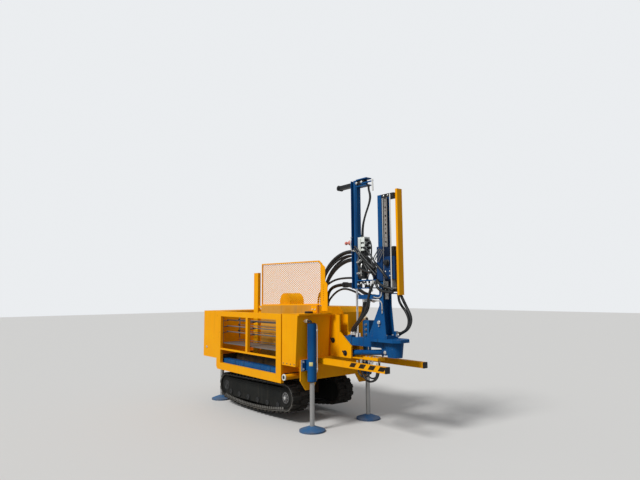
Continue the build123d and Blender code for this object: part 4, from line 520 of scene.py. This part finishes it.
# single hoses beside them, in groups by body, far end and stiffness: name, diameter and route through its corners,
# in millimetres
SINGLE_HOSES = (
    ("chassis", "fitting", "stiff", (
        ("arch_inner_hose", 26, ((52, 232, 1400), (52, 232, 1565), (108, 230, 1793), (325, 225, 1980),
         (605, 216, 2065), (865, 206, 2014), (1035, 196, 1893), (1118, 194, 1768))),
        ("arch_outer_hose", 26, ((52, 292, 1400), (52, 292, 1565), (108, 290, 1793), (325, 285, 1980),
         (605, 276, 2065), (865, 267, 2014), (1035, 257, 1893), (1118, 256, 1768))),
    )),
    ("chassis", "fitting", "medium", (
        ("arch_upper_low_hose", 27, ((-40, 246, 1400), (-40, 246, 1500), (10, 246, 1600), (160, 246, 1692),
         (330, 240, 1752), (520, 234, 1768), (760, 226, 1762), (930, 200, 1690), (1080, 172, 1600))),
        ("arch_low_hose", 27, ((20, 372, 1330), (20, 372, 1420), (60, 366, 1485), (170, 346, 1556), (310, 316, 1612),
         (470, 290, 1636), (700, 262, 1590), (880, 246, 1505), (1060, 226, 1470))),
    )),
    ("tower", "fitting", "medium", (
        ("drop_near_hose", 31, ((1150, -6, 1500), (1150, -6, 1440), (1128, -8, 1352), (1062, -10, 1262),
         (980, -6, 1192), (934, -3, 1140), (930, -3, 1082))),
        ("drop_outer_hose", 31, ((1158, -38, 1500), (1158, -38, 1440), (1136, -38, 1345), (1072, -38, 1255),
         (990, -34, 1188), (938, -30, 1140), (934, -30, 1082))),
    )),
    ("feed", "object", "medium", (
        ("column_second_hose", 22, ((1240, -18, 2838), (1240, -18, 2780), (1262, -18, 2725), (1262, -18, 2660),
         (1225, -18, 2565), (1165, -18, 2455), (1126, -18, 2340), (1122, -18, 2235))),
        ("feed_slant_hose", 21, ((1052, -70, 2120), (1100, -72, 2076), (1190, -74, 1990), (1285, -72, 1905),
         (1372, -66, 1826), (1400, -62, 1800))),
        ("feed_slant_low_hose", 21, ((1040, -70, 2090), (1085, -72, 2046), (1172, -74, 1962), (1265, -72, 1876),
         (1352, -66, 1796), (1380, -62, 1770))),
        ("feed_short_hose", 22, ((1168, -36, 2100), (1230, -54, 2062), (1285, -60, 2012), (1340, -60, 1950),
         (1400, -58, 1872), (1420, -56, 1840))),
    )),
    ("tower", "fitting", "medium", (
        ("carriage_drop_hose", 32, ((1352, -68, 1706), (1336, -70, 1662), (1292, -68, 1600), (1262, -66, 1520),
         (1240, -66, 1430), (1180, -62, 1320), (1080, -62, 1225), (1000, -44, 1165), (976, -28, 1125),
         (972, -28, 1084))),
    )),
    ("tower", "object", "medium", (
        ("side_outer_hose", 33, ((1420, 100, 1736), (1470, 100, 1728), (1540, 101, 1672), (1590, 102, 1560),
         (1672, 103, 1420), (1733, 104, 1320), (1736, 103, 1245), (1690, 100, 1172), (1610, 92, 1130),
         (1545, 88, 1096))),
    )),
    ("feed", "object", "medium", (
        ("valve_low_hose", 24, ((1080, -34, 2012), (1080, -44, 1965), (1098, -74, 1905), (1150, -92, 1860),
         (1230, -104, 1828), (1300, -106, 1806), (1345, -104, 1800))),
        ("valve_back_hose", 24, ((1130, -20, 2012), (1130, -22, 1960), (1165, -24, 1890), (1215, -26, 1820),
         (1216, -26, 1760), (1200, -26, 1712))),
        ("valve_mid_hose", 24, ((1150, -36, 2012), (1158, -52, 1972), (1205, -84, 1942), (1280, -94, 1918),
         (1348, -90, 1868), (1374, -80, 1846))),
        ("valve_side_hose", 18, ((1166, -10, 2196), (1196, -11, 2204), (1246, -12, 2180), (1272, -14, 2100),
         (1268, -20, 1980), (1296, -40, 1890), (1360, -66, 1836))),
        ("carriage_front_hose", 28, ((1402, -92, 1900), (1440, -102, 1876), (1500, -108, 1828), (1545, -104, 1776),
         (1572, -88, 1730))),
        ("side_feed_hose", 30, ((1430, -94, 1710), (1450, -108, 1692), (1505, -113, 1656), (1580, -110, 1630),
         (1640, -101, 1612), (1664, -96, 1600))),
        ("side_feed_low_hose", 30, ((1400, -88, 1692), (1420, -96, 1640), (1480, -104, 1598), (1560, -104, 1584),
         (1630, -102, 1578), (1662, -96, 1574))),
    )),
    ("chassis", "object", "medium", (
        ("tray_near_loop", 20, ((1035, -42, 790), (1035, -42, 735), (1052, -42, 655), (1105, -42, 612),
         (1180, -42, 616), (1240, -42, 665), (1262, -42, 735), (1262, -42, 790))),
        ("tray_far_loop", 18, ((1075, 34, 790), (1075, 34, 735), (1100, 34, 650), (1160, 34, 600), (1230, 34, 598),
         (1290, 34, 650), (1312, 34, 735), (1312, 34, 790))),
        ("tray_low_loop", 22, ((1100, -44, 790), (1100, -44, 735), (1128, -44, 640), (1190, -44, 580),
         (1245, -44, 572), (1318, -44, 600), (1358, -44, 680), (1362, -44, 790))),
    )),
)

# sides of a hose, and the turn of a bundle's strands in radians per metre
HOSE_SIDES, STRAND_TWIST = 12, 1.5


def smooth_route(corners):
    """Points along the smooth line that a spline of order three draws from its control points."""
    curve = bpy.data.curves.new("route", "CURVE")
    curve.dimensions = "3D"
    curve.resolution_u = 10
    spline = curve.splines.new("NURBS")
    spline.points.add(len(corners) - 1)
    spline.points.foreach_set("co", np.column_stack([corners, np.ones(len(corners))]).ravel())
    spline.order_u = 3
    spline.use_endpoint_u = True
    holder = bpy.data.objects.new("route", curve)
    mesh = bpy.data.meshes.new_from_object(holder)
    line = np.empty(3 * len(mesh.vertices))
    mesh.vertices.foreach_get("co", line)
    bpy.data.objects.remove(holder)
    bpy.data.curves.remove(curve)
    bpy.data.meshes.remove(mesh)
    return line.reshape(-1, 3)


def both_ends(line):
    """Name, place and way inwards of a route's two ends."""
    return (("start", line[0], line[2] - line[0]), ("end", line[-1], line[-3] - line[-1]))


def make_hoses():
    """Bundles of hoses: strands wind slowly round the route, and a short sleeve holds them at both ends."""
    for name, body, bundle, strand, count, length, far_end, stiffness, route in HOSES:
        corners = mm(*route)
        bundle, strand, length = bundle / 1000, strand / 1000, length / 1000
        line = smooth_route(corners)
        offset = strand / 2 / math.sin(math.pi / count) if count > 1 else 0.0
        shapes = [tube(line, strand / 2, HOSE_SIDES, offset, 2 * math.pi * k / count, STRAND_TWIST)
                  for k in range(count)]
        piece = add_piece(name + "_strands", shapes, "hose_rubber", body)
        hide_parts(name)
        reach = 0.5 * bundle + 0.003
        sleeve = [(reach - 0.002, 0.0), (reach, 0.002), (reach, 0.6 * bundle), (reach - 0.003, 0.65 * bundle),
                  (reach - 0.003, 1.0 * bundle), (reach - 0.006, 1.04 * bundle)]
        pieces = [add_piece(f"{name}_{end}_sleeve", [turned(place, way, sleeve, 18)], "grey_steel", body)
                  for end, place, way in both_ends(line)]
        if name == "hose_arch_upper":
            pieces.append("hose_elbows")


def make_single_hoses():
    """Round hoses along smooth routes, with a crimped ferrule and a six-sided nut at both ends."""
    rows = ((*group, *row) for *group, hoses in SINGLE_HOSES for row in hoses)
    for body, far_end, stiffness, name, diameter, route in rows:
        corners, diameter = mm(*route), diameter / 1000
        line = smooth_route(corners)
        piece = add_piece(name, [tube(line, diameter / 2, HOSE_SIDES)], "hose_rubber", body)
        grip = [(0.50 * diameter, 0.0), (0.62 * diameter, 0.002), (0.62 * diameter, 0.9 * diameter),
                (0.52 * diameter, 1.0 * diameter), (0.50 * diameter, 1.1 * diameter)]
        nut = [(0.56 * diameter, -0.004), (0.66 * diameter, -0.002), (0.66 * diameter, 0.012), (0.58 * diameter, 0.015)]
        ends = [add_piece(f"{name}_{end}_fitting", [turned(place, way, grip, 14), turned(place, way, nut, 6)],
                          "black_paint" if body == "feed" else "zinc", body) for end, place, way in both_ends(line)]


def make_leg_fittings():
    """Gland ring and cap, elbow with its union nut and, in front, a grease pipe, placed from each leg's sleeve."""
    union = mm((19, -4), (25, 0), (25, 28), (19, 32), (19, 38), (27, 41), (27, 70), (20, 74), (13, 75), (13, 84))
    bend = np.linspace(0.0, math.pi / 2, 7)
    turn, rise = 1 - np.cos(bend), np.sin(bend)
    for label, outward in LEGS:
        low, high = corners_of("leg_sleeve_" + label)
        (x, y), foot, top = (low[:2] + high[:2]) / 2, low[2], high[2]
        rings = [turned((x, y, foot - 0.012), UP, mm((34, 0), (46, 1), (50, 6), (50, 12.5)), 28),
                 turned((x, y, top - 0.001), UP, mm((44, 0), (44, 6), (40, 10), (18, 12)), 28)]
        add_piece(f"leg_rings_{label}", rings, "black_paint")
        curve = np.column_stack([x - 0.024 * turn, y + outward * 0.012 * (1 + turn), top + 0.012 + 0.018 * rise])
        end = np.array((x - 0.046, y + outward * 0.034, top + 0.030))
        elbow = np.vstack([(x, y + outward * 0.012, top + 0.006), curve, end])
        add_piece(f"leg_elbow_{label}", [tube(elbow, 0.0125, 12)], "black_plastic")
        way = unit(np.array((-0.9, outward * 0.44, 0.0)))
        add_piece(f"leg_brass_{label}", [turned(end - way * 0.004, way, union, 6)], "brass")
        if label.startswith("front"):
            pipe_y = y - outward * 0.034
            upper = np.array((x, pipe_y, top)) + mm((32, 0, -10), (46, 0, -12), (52, 0, -26), (56, 0, -100))
            lower = np.array((x, pipe_y, foot)) + mm((56, 0, 140), (52, 0, 110), (42, 0, 100))
            nut = mm((7, 0), (8.5, 3), (8.5, 15), (7, 18))
            nuts = [turned((x + 0.056, pipe_y, z), UP, nut, 6) for z in (top - 0.09, foot + 0.13)]
            add_piece(f"leg_pipe_{label}", [tube(np.vstack([upper, lower]), 0.005, 8)] + nuts, "zinc")


def make_leg_flanges():
    """Blue flange plates that bolt each front leg to the end plate, with a zinc edge strip and two bolts."""
    face = corners_of("main_frame")[1][0]
    for label, outward in LEGS[:2]:
        side = outer_y("leg_sleeve_" + label, outward)
        inner, outer = side - outward * 0.006, side + outward * 0.052
        y0, y1 = sorted((inner, outer))
        add_piece(f"leg_flange_{label}", [box((face - 0.0002, y0, 0.672), (face + 0.014, y1, 0.800))], "blue_paint")
        y0, y1 = sorted((outer - outward * 0.006, outer + outward * 0.001))
        strip = box((face + 0.013, y0, 0.674), (face + 0.018, y1, 0.798), 0.001)
        bolts = hex_bolts([(face + 0.013, side + outward * 0.026, z) for z in (0.695, 0.778)], AHEAD, 0.022)
        add_piece(f"leg_flange_bolts_{label}", [strip] + bolts, "zinc")


def make_guard_bracket():
    """Folded bracket on the wall below the mesh with its two bolts."""
    face = outer_y("inner_wall", -1)
    outline = mm((396, 1330), (500, 1332), (506, 1345), (506, 1418), (398, 1416))
    add_piece("wall_bracket", [plate(outline, (0, face, 0), AHEAD, UP, 0.008)], "yellow_paint")
    bolts = hex_bolts([(x, face - 0.008, 1.372) for x in (0.425, 0.478)], RIGHT, 0.018)
    add_piece("wall_bracket_bolts", bolts, "zinc")


# pins through the arm stand: name and middle; their keeper plates lean down by one angle
PINS = (("arm", 0.650, 1.001), ("cylinder", 0.867, 0.865))
KEEPER_LEAN = math.radians(-38)


def make_pin_keepers():
    """Keeper plates over both pins on the outside of each cheek."""
    c, s = math.cos(KEEPER_LEAN), math.sin(KEEPER_LEAN)
    strap = mm((-40, -11), (12, -11), (18, 0), (12, 11), (-40, 11))
    rim = mm((30, 0), (33, 2), (33, 6), (25, 8), (25, 10))
    for side, outward in SIDES:
        face, out = outer_y("arm_stand", outward), (0, outward, 0)
        for pin, x, z in PINS:
            foot = (x, face + outward * (0.009 if outward > 0 else 0.015), z)
            shapes = [turned((x, face, z), out, rim, 28), plate(strap, foot, (c, 0, s), (-s, 0, c), 0.006)]
            add_piece(f"{pin}_pin_ring_{side}", shapes, "black_paint")
            bolt = hex_bolts([(x - 0.032 * c, face + outward * 0.014, z - 0.032 * s)], out, 0.014)
            add_piece(f"{pin}_pin_bolt_{side}", bolt, "zinc")


# pitch line of a track: both wheel centres, the wrap's radius, the leans of the runs and the lowest place
FRONT_WHEEL, REAR_WHEEL, WRAP = np.array((0.212, 0.300)), np.array((-1.275, 0.262)), 0.160
TOP_LEAN = math.atan2(0.038, 1.487)
FRONT_END, REAR_END = TOP_LEAN - math.radians(96), TOP_LEAN + math.radians(267)
LOWEST = np.array((-0.470, 0.070))
# how far inside the pitch line the band's rim and the guide teeth run
RIM_INSET, TOOTH_INSET = 0.006, 0.024


def round_wheel(wheel, first, last, radius, steps):
    """Points on a circle about the wheel: its centre plus the radius times cosine and sine of equal angles."""
    angle = np.linspace(first, last, steps)
    return wheel + radius * np.stack([np.cos(angle), np.sin(angle)], axis=-1)


def lower_run(inset, steps):
    """Arc through both wraps' ends and the lowest place, drawn in by the inset, with its inward directions. The
    centre is where all three places are equally far away."""
    front, rear = (round_wheel(wheel, end, end, WRAP, 1)[0]
                   for wheel, end in ((FRONT_WHEEL, FRONT_END), (REAR_WHEEL, REAR_END)))
    sides = 2 * np.array((LOWEST - front, rear - front))
    centre = np.linalg.solve(sides, [LOWEST @ LOWEST - front @ front, rear @ rear - front @ front])
    radius = np.linalg.norm(front - centre)
    first, last = (math.atan2(end[1] - centre[1], end[0] - centre[0]) for end in (front, rear))
    line = round_wheel(centre, first, last, radius - inset, steps)
    return line, unit(centre - line)


def track_loop():
    """Whole pitch line, a little inside the band: round the front wheel, along below, round the rear wheel, back."""
    top = math.pi / 2 + TOP_LEAN
    front = round_wheel(FRONT_WHEEL, top, FRONT_END, WRAP - RIM_INSET, 26)
    rear = round_wheel(REAR_WHEEL, REAR_END, top, WRAP - RIM_INSET, 24)
    return np.concatenate([front[:-1], lower_run(RIM_INSET, 40)[0], rear[1:], front[:1]])


# turned parts on the hub: piece, finish, sides, pairs of radius and height
HUB_PARTS = (
    ("hub_dish", "frame_paint", 40, ((118, 0), (116, 5), (104, 6), (100, 2), (86, 2), (82, 8), (70, 9))),
    ("hub_boss", "zinc", 24, ((19, 20), (19, 25), (15, 28), (0, 29))),
    ("hub_cover", "hub_steel", 36, ((70, 0), (66, 10), (56, 13), (54, 8), (40, 8), (36, 18), (20, 22), (0, 23))),
)


def make_track_gear():
    """Hub parts, idler cap, rollers, rail, guide teeth and a pale line along the band's rim on the outside of each
    track.
    """
    idler = mm((70, 0), (66, 6), (50, 7), (46, 3), (30, 3), (24, 10), (0, 11))
    roller = mm((36, 0), (34, 10), (20, 12), (18, 8), (0, 9))
    tooth = mm((-12, -2), (12, -2), (8, 27), (-8, 27))
    ring = np.linspace(0, 2 * math.pi, 9)[:-1]
    for side, outward in SIDES:
        rear_x = corners_of("track_frame_" + side)[0][0]
        hub_x, _, hub_z = corners_of("drive_hub_" + side).mean(axis=0)
        face, edge = outer_y("track_frame_" + side, outward), outer_y("crawler_track_" + side, outward)
        out = (0, outward, 0)
        for piece, finish, sides, profile in HUB_PARTS:
            add_piece(f"{piece}_{side}", [turned((hub_x, face, hub_z), out, mm(*profile), sides)], finish)
        bolts = [(hub_x + 0.047 * math.cos(a), face + outward * 0.008, hub_z + 0.047 * math.sin(a)) for a in ring]
        add_piece(f"hub_bolts_{side}", hex_bolts(bolts, out, 0.013), "grey_steel")
        caps = [turned((rear_x + 0.136, face, 0.262), out, idler, 30)]
        caps += [turned((x, face, 0.178 + 0.02 * abs(x + 0.47)), out, roller, 22)
                 for x in np.linspace(rear_x + 0.27, hub_x - 0.17, 6).tolist()]
        add_piece(f"track_rollers_{side}", caps, "black_paint")
        y0, y1 = sorted((face, face + outward * 0.006))
        add_piece(f"track_rail_{side}", [box((rear_x + 0.12, y0, 0.345), (hub_x - 0.15, y1, 0.361))], "frame_paint")
        line, inward = lower_run(TOOTH_INSET, 71)
        foot_y = edge + 0.004 if outward < 0 else edge - 0.014
        teeth = [plate(tooth, (x, foot_y, z), (nz, 0, -nx), (nx, 0, nz), 0.010, 0.001)
                 for (x, z), (nx, nz) in zip(line[1:-1:2].tolist(), inward[1:-1:2].tolist())]
        add_piece(f"guide_teeth_{side}", teeth, "tooth_steel")
        loop = track_loop()
        path = np.column_stack([loop[:, 0], np.full(len(loop), edge - outward * 0.003), loop[:, 1]])
        add_piece(f"band_rim_{side}", [tube(path, 0.0036, 6)], "tooth_steel")


# heights of the bolt holes in the rack
RACK_HOLES = (2.643, 2.534, 2.439, 2.340, 2.243, 2.142)


def make_tower_details():
    """Pipes, black discs painted as the shade in the rack's holes, bolts, plugs and gauge that lean with the tower."""
    add = partial(add_piece, body="tower")
    pipe = mm((1494, -62, 2655), (1502, -62, 2640), (1502, -62, 2200), (1502, -62, 1640), (1494, -62, 1625))
    add("mast_grease_pipe", [tube(pipe, 0.0055, 8)], "zinc")
    # black discs just proud of the rack's face: painted shade where its bolt holes are
    hole_shade, rack_face = mm((11.5, -1), (11.5, 0.8), (0, 0.8)), corners_of("mast_rack")[1][0]
    hole_shades = [turned((rack_face, 0.0, z), AHEAD, hole_shade, 18) for z in RACK_HOLES]
    add("rack_holes", hole_shades, "black_plastic")
    pipe = mm((1624, -73.5, 2662), (1630, -75.5, 2650), (1630, -75.5, 2100), (1630, -75.5, 1600), (1624, -73.5, 1588))
    add("guard_pipe", [tube(pipe, 0.0068, 10)], "white_pipe")
    near = mm((1476, -78, 1624), (1475, -78, 1560), (1470, -78, 1535), (1450, -78, 1520), (1420, -78, 1515),
              (1373, -78, 1520))
    far = mm((1387, -78, 1482), (1440, -78, 1482), (1466, -78, 1474), (1480, -78, 1450), (1482, -78, 1400),
             (1482, -78, 1345))
    add("mast_bent_pipes", [tube(near, 0.007, 8), tube(far, 0.007, 8)], "zinc")
    clips = [box((1.470, -0.086, z), (1.492, -0.0685, z + 0.014)) for z in (1.585, 1.375)]
    clips += [turned(place, BACK, mm((9, -4), (12, 0), (12, 18), (9, 20)), 6) for place in (near[-1], far[0])]
    add("mast_pipe_clips", clips, "grey_steel")
    bolts = hex_bolts([(x, y, 1.102) for x in (1.285, 1.335, 1.385) for y in (-0.045, 0.045)], UP, 0.022)
    bolts += hex_bolts([(1.512, y, 1.102) for y in (-0.052, 0.052)], UP, 0.022)
    add("foot_bolts", bolts, "zinc")
    plug = mm((16, 0), (16, 4), (11, 6), (11, 20), (0, 22))
    plugs = [turned((1.195, -0.045, z), RIGHT, plug, 6) for z in (1.10, 1.155, 1.21)]
    add("arm_block_plugs", plugs, "grey_steel")
    gauge = [turned((1.430, -0.069, 1.244), RIGHT, mm((20, 0), (22, 3), (22, 16), (18, 20), (0, 20)), 24),
             turned((1.430, -0.069, 1.205), RIGHT, mm((8, 0), (8, 16), (0, 17)), 6)]
    add("pressure_gauge", gauge, "zinc")
    eye = turned((1.492, -0.050, 0.920), RIGHT, mm((18, 0), (20, 2), (20, 10), (14, 13), (0, 13)), 24)
    add("rod_eye_pin", [eye], "zinc")
    strap_bolts = hex_bolts([(x, -0.069, z) for x in (1.53, 1.59) for z in (1.60, 2.652)], RIGHT, 0.016)
    add("strap_bolts", strap_bolts, "zinc")


def make_valve_details():
    """Buttons, cover and coils of the valve block."""
    add = partial(add_piece, body="feed")
    low, high = corners_of("valve_block")
    face = low[1]
    button = mm((10, 0), (10, 6), (7, 10), (0, 10))
    buttons = [turned((low[0] + x, face, z), RIGHT, button, 14) for x in (0.066, 0.092) for z in (2.050, 2.105, 2.160)]
    add("valve_buttons", buttons, "black_plastic")
    x0, x1 = low[0] + 0.006, low[0] + 0.052
    lid = plate([(x0, 2.022), (x1, 2.022), (x1, 2.215), (x0, 2.215)], (0, face, 0), AHEAD, UP, 0.008, 0.003)
    add("valve_cover", [lid], "white_plastic")
    coil = mm((12, 0), (12, 12), (18, 14), (18, 30), (12, 34), (0, 34))
    coils = [turned((high[0], y, z), AHEAD, coil, 16)
             for y, z in mm((0, 2190), (0, 2130), (0, 2070), (40, 2160), (40, 2100))]
    add("valve_coils", coils, "black_plastic")


def make_feed_details():
    """Handle, red knob, motor with its pipes, link bolts and head motors that travel with the feed column."""
    add = partial(add_piece, body="feed")
    column_low, column_high = corners_of("feed_column")
    near_y, bolt_x = column_low[1], (1.075, 1.125, 1.195, 1.255)
    handle = np.array((0, near_y, 0)) + mm((962, 0, 2235), (962, -22, 2232), (966, -32, 2215), (972, -34, 2150),
                                           (984, -34, 2085), (988, -24, 2070), (988, 2, 2068))
    add("column_handle", [tube(handle, 0.007, 10)], "zinc")
    knob = mm((10, 0), (10, 30), (22, 34), (30, 48), (30, 62), (22, 76), (10, 78), (9, 110), (18, 114), (22, 128),
              (16, 140), (0, 142))
    add("red_knob", [turned((column_low[0], 0.0, 2.180), BACK, knob, 22)], "red_plastic")
    pipe = mm((1338, -48, 2885), (1338, -50, 2866), (1341, -50, 2766), (1342, -48, 2748))
    add("column_white_tube", [tube(pipe, 0.010, 12)], "white_pipe")
    add("column_tube_strap", [box((1.140, -0.0495, 2.858), (1.350, -0.0445, 2.874), 0.001)], "blue_paint")
    add("column_strip", [box((0.965, near_y - 0.003, 2.066), (1.030, near_y + 0.0005, 2.084))], "white_plastic")
    motor = mm((20, 0), (52, 2), (56, 12), (56, 135), (50, 142), (46, 160), (46, 230), (40, 240), (22, 244), (0, 244))
    shapes = [turned((1.118, 0.0, 1.735), UP, motor, 30), box((1.0515, -0.036, 1.76), (1.100, 0.036, 1.90))]
    add("feed_motor", shapes, "black_paint")
    port = mm((12, 0), (15, 3), (15, 18), (11, 22), (11, 34))
    ports = [turned((x, -0.050, z), RIGHT, port, 6)
             for x, z in ((1.098, 1.80), (1.138, 1.80), (1.098, 1.93), (1.138, 1.95))]
    add("motor_ports", ports, "zinc")
    jog = mm((1145, -52, 1908), (1146, -62, 1890), (1142, -62, 1800), (1140, -56, 1768))
    slant = mm((1300, -50, 1822), (1290, -58, 1812), (1255, -58, 1772), (1245, -48, 1762))
    add("motor_pipes", [tube(jog, 0.008, 8), tube(slant, 0.008, 8)], "zinc")
    foot, top = column_low[2], column_high[2] - 0.046
    lower = [(x, -0.045, foot + z) for x, z in zip(bolt_x, (0.050, 0.062, 0.052, 0.050))]
    upper = [(x, -0.045, top) for x in (1.065, 1.150)]
    bolts = hex_bolts(lower, RIGHT, 0.024) + hex_bolts(upper, RIGHT, 0.026)
    add("link_bolts", bolts, "zinc")
    spacers = [turned((x, -0.044, foot + 0.012), UP, mm((12, 0), (12, 76)), 14) for x in bolt_x]
    add("link_spacers", spacers, "black_paint")
    rods = [tube(mm((x + 75, -92, 2062 - 8 * k), (x + 60, -98, 2045 - 8 * k), (x, -98, 1972 - 14 * k),
                    (x - 10, -94, 1955 - 14 * k)), 0.0065, 8) for k, x in enumerate((1392, 1418, 1444, 1470))]
    add("carriage_pipes", rods, "grey_steel")
    head_low, head_high = corners_of("drill_head")
    face, top = head_low[1], head_high[2]
    swivel = mm((30, -2), (46, 0), (48, 10), (48, 60), (40, 68), (26, 70), (26, 110), (20, 114), (0, 114))
    side_motor = mm((36, 0), (36, 10), (30, 14), (30, 34), (24, 40), (0, 40))
    shapes = [turned((1.605, 0.0, top), UP, swivel, 30),
              turned((1.560, face, top - 0.070), RIGHT, side_motor, 26)]
    add("head_motors", shapes, "black_paint")
    places = [(x, face, z) for x in (1.53, 1.595) for z in (top - 0.215, top - 0.165)]
    add("head_bolts", hex_bolts(places, RIGHT, 0.016), "zinc")


# heights of the wires across the bays; the lowest one has no rubber ends
WIRE_HEIGHTS, WIRE_Y = (1.273, 1.190, 1.118, 1.031, 0.905), -0.296


def make_bay_wires():
    """Thin wires across both open bays, with black rubber ends, and an upright strap behind them."""
    low, high = corners_of("rod_rack")
    first_x, last_x = low[0] + 0.003, high[0] - 0.003
    wires = [tube([(first_x, WIRE_Y, z), (last_x, WIRE_Y, z)], 0.0052, 8) for z in WIRE_HEIGHTS]
    add_piece("bay_wires", wires, "grey_steel")
    ends = [turned((x, WIRE_Y, z), way, mm((10, 0), (12, 2), (12, 30), (9, 34)), 12)
            for z in WIRE_HEIGHTS[:-1] for x, way in ((first_x, AHEAD), (last_x, BACK))]
    add_piece("bay_wire_ends", ends, "black_plastic")
    strap = box((first_x + 0.004, WIRE_Y + 0.006, 0.93), (first_x + 0.030, WIRE_Y + 0.012, 1.290), 0.001)
    add_piece("bay_strap", [strap], "grey_steel")


def make_cross_tube_rings():
    """Pale ring on both ends of the cross tube, with a black disc inside it as painted shade of the tube's open end."""
    x, _, z = corners_of("cross_tube").mean(axis=0)
    ring = mm((33, -12), (38.5, -10), (38.5, -2), (36, 0.6), (24, 0.6), (22, 0.2))
    # the black disc inside the ring is painted shade of the tube's open end
    hole_shade = mm((22.5, 0), (22, 0.9), (0, 0.9))
    for side, outward in SIDES:
        foot, out = (x, outer_y("cross_tube", outward), z), (0, outward, 0)
        add_piece(f"tube_ring_{side}", [turned(foot, out, ring, 36)], "white_plastic")
        add_piece(f"tube_hole_shade_{side}", [turned(foot, out, hole_shade, 30)], "black_plastic")


def make_cabinet_doors():
    """Two doors on the cabinet's rear face with hinges and locks, and bolts along the tank's lower edge."""
    face = corners_of("rear_cabinet")[0][0]
    barrel = mm((7, 0), (9, 2), (9, 62), (7, 64))
    lock = mm((18, 0), (20, 2), (20, 6), (12, 8), (11, 13), (0, 14))
    doors, hinges, locks = [], [], []
    for _, outward in SIDES:
        inner, outer = sorted((outward * 0.012, outward * 0.556))
        outline = clipped((inner, 0.712), (outer, 1.272), 0.014)
        doors.append(plate(outline, (face - 0.005, 0, 0), (0, 1, 0), UP, 0.0055, 0.0015))
        hinges += [turned((face - 0.007, outward * 0.566, z), UP, barrel, 14) for z in (0.80, 1.13)]
        locks.append(turned((face - 0.005, outward * 0.060, 1.00), BACK, lock, 22))
    add_piece("cabinet_doors", doors, "yellow_paint")
    add_piece("cabinet_hinges", hinges, "black_paint")
    add_piece("cabinet_locks", locks, "zinc")
    bolts = [(x, outer_y("front_tank", -1), 0.746) for x in (0.352, 0.425, 0.498, 0.571)]
    add_piece("tank_bolts", hex_bolts(bolts, RIGHT, 0.012), "grey_steel")


# tilt cylinder: its lower pin and its rise above the level; the plate on the leg faces the camera's side
CYLINDER_FOOT, CYLINDER_RISE, LEG_PLATE_TURN = (0.867, 0.865), math.radians(5.03), math.radians(-52)


def make_body_details():
    """Lid strips, filler cap, latch, plate on the leg, cylinder fittings and tray fittings of the body."""
    rim = [box(*mm((318, -610.5, 1325.5), (664, -598, 1331)), 0.001),
           box(*mm((652, -598, 1325.5), (664, -118, 1331)), 0.001)]
    add_piece("lid_rim", rim, "yellow_paint")
    filler = turned((0.45, -0.30, 1.325), UP, mm((50, 0), (52, 4), (52, 20), (46, 26), (0, 28)), 26)
    add_piece("filler_cap", [filler], "black_plastic")
    tab = mm((-1672, 775), (-1634, 775), (-1634, 803), (-1672, 803))
    latch = [plate(tab, (0, -0.611, 0), AHEAD, UP, 0.006),
             turned((-1.653, -0.616, 0.789), RIGHT, mm((8, 0), (8, 6), (0, 7)), 14)]
    add_piece("cabinet_latch", latch, "zinc")
    leg_x, leg_y, _ = corners_of("leg_sleeve_front_right").mean(axis=0)
    angle = np.linspace(-0.42, 0.42, 9)[:, None] + LEG_PLATE_TURN
    proud, height = np.array(mm((53.2, 54.5, 54.5, 53.2), (735, 737, 777, 779)))[:, None]
    points = np.stack([leg_x + proud * np.cos(angle), leg_y + proud * np.sin(angle), height + 0 * angle], axis=-1)
    add_piece("leg_plate", [(points.reshape(-1, 3), skin(9, 4))], "plate_paint")
    way = (math.cos(CYLINDER_RISE), 0, math.sin(CYLINDER_RISE))
    near, far = ((CYLINDER_FOOT[0] + run * way[0], 0, CYLINDER_FOOT[1] + run * way[2]) for run in (0.06, 0.54))
    shapes = [turned((x, 0, z - 0.028), DOWN, mm((14, 0), (14, 10), (9, 12), (9, 20)), 6) for x, _, z in (near, far)]
    shapes.append(turned(far, way, mm((31, 0), (35, 2), (35, 32), (28, 35.5)), 30))
    add_piece("cylinder_collar", shapes, "greasy_blue", "tilt_cylinder")
    nut = mm((10, 0), (13, 2), (13, 8), (0, 9))
    fittings = [turned((x, y, 0.848), UP, nut, 6) for x in (1.18, 1.24, 1.30, 1.35) for y in (-0.035, 0.035)]
    drop = mm((9, 0), (13, 2), (13, 22), (9, 26), (9, 40))
    fittings += [turned((x, y, 0.816), DOWN, drop, 6)
                 for x, y in mm((1045, 0), (1350, 0), (1220, -36), (1280, -40), (1100, -40), (1160, 36))]
    add_piece("tray_fittings", fittings, "zinc")


dress_nodes()
set_camera()
set_lights()
make_hoses()
make_single_hoses()
make_leg_fittings()
make_leg_flanges()
make_guard_bracket()
make_pin_keepers()
make_track_gear()
make_tower_details()
make_valve_details()
make_feed_details()
make_bay_wires()
make_cross_tube_rings()
make_cabinet_doors()
make_body_details()
make_floor()
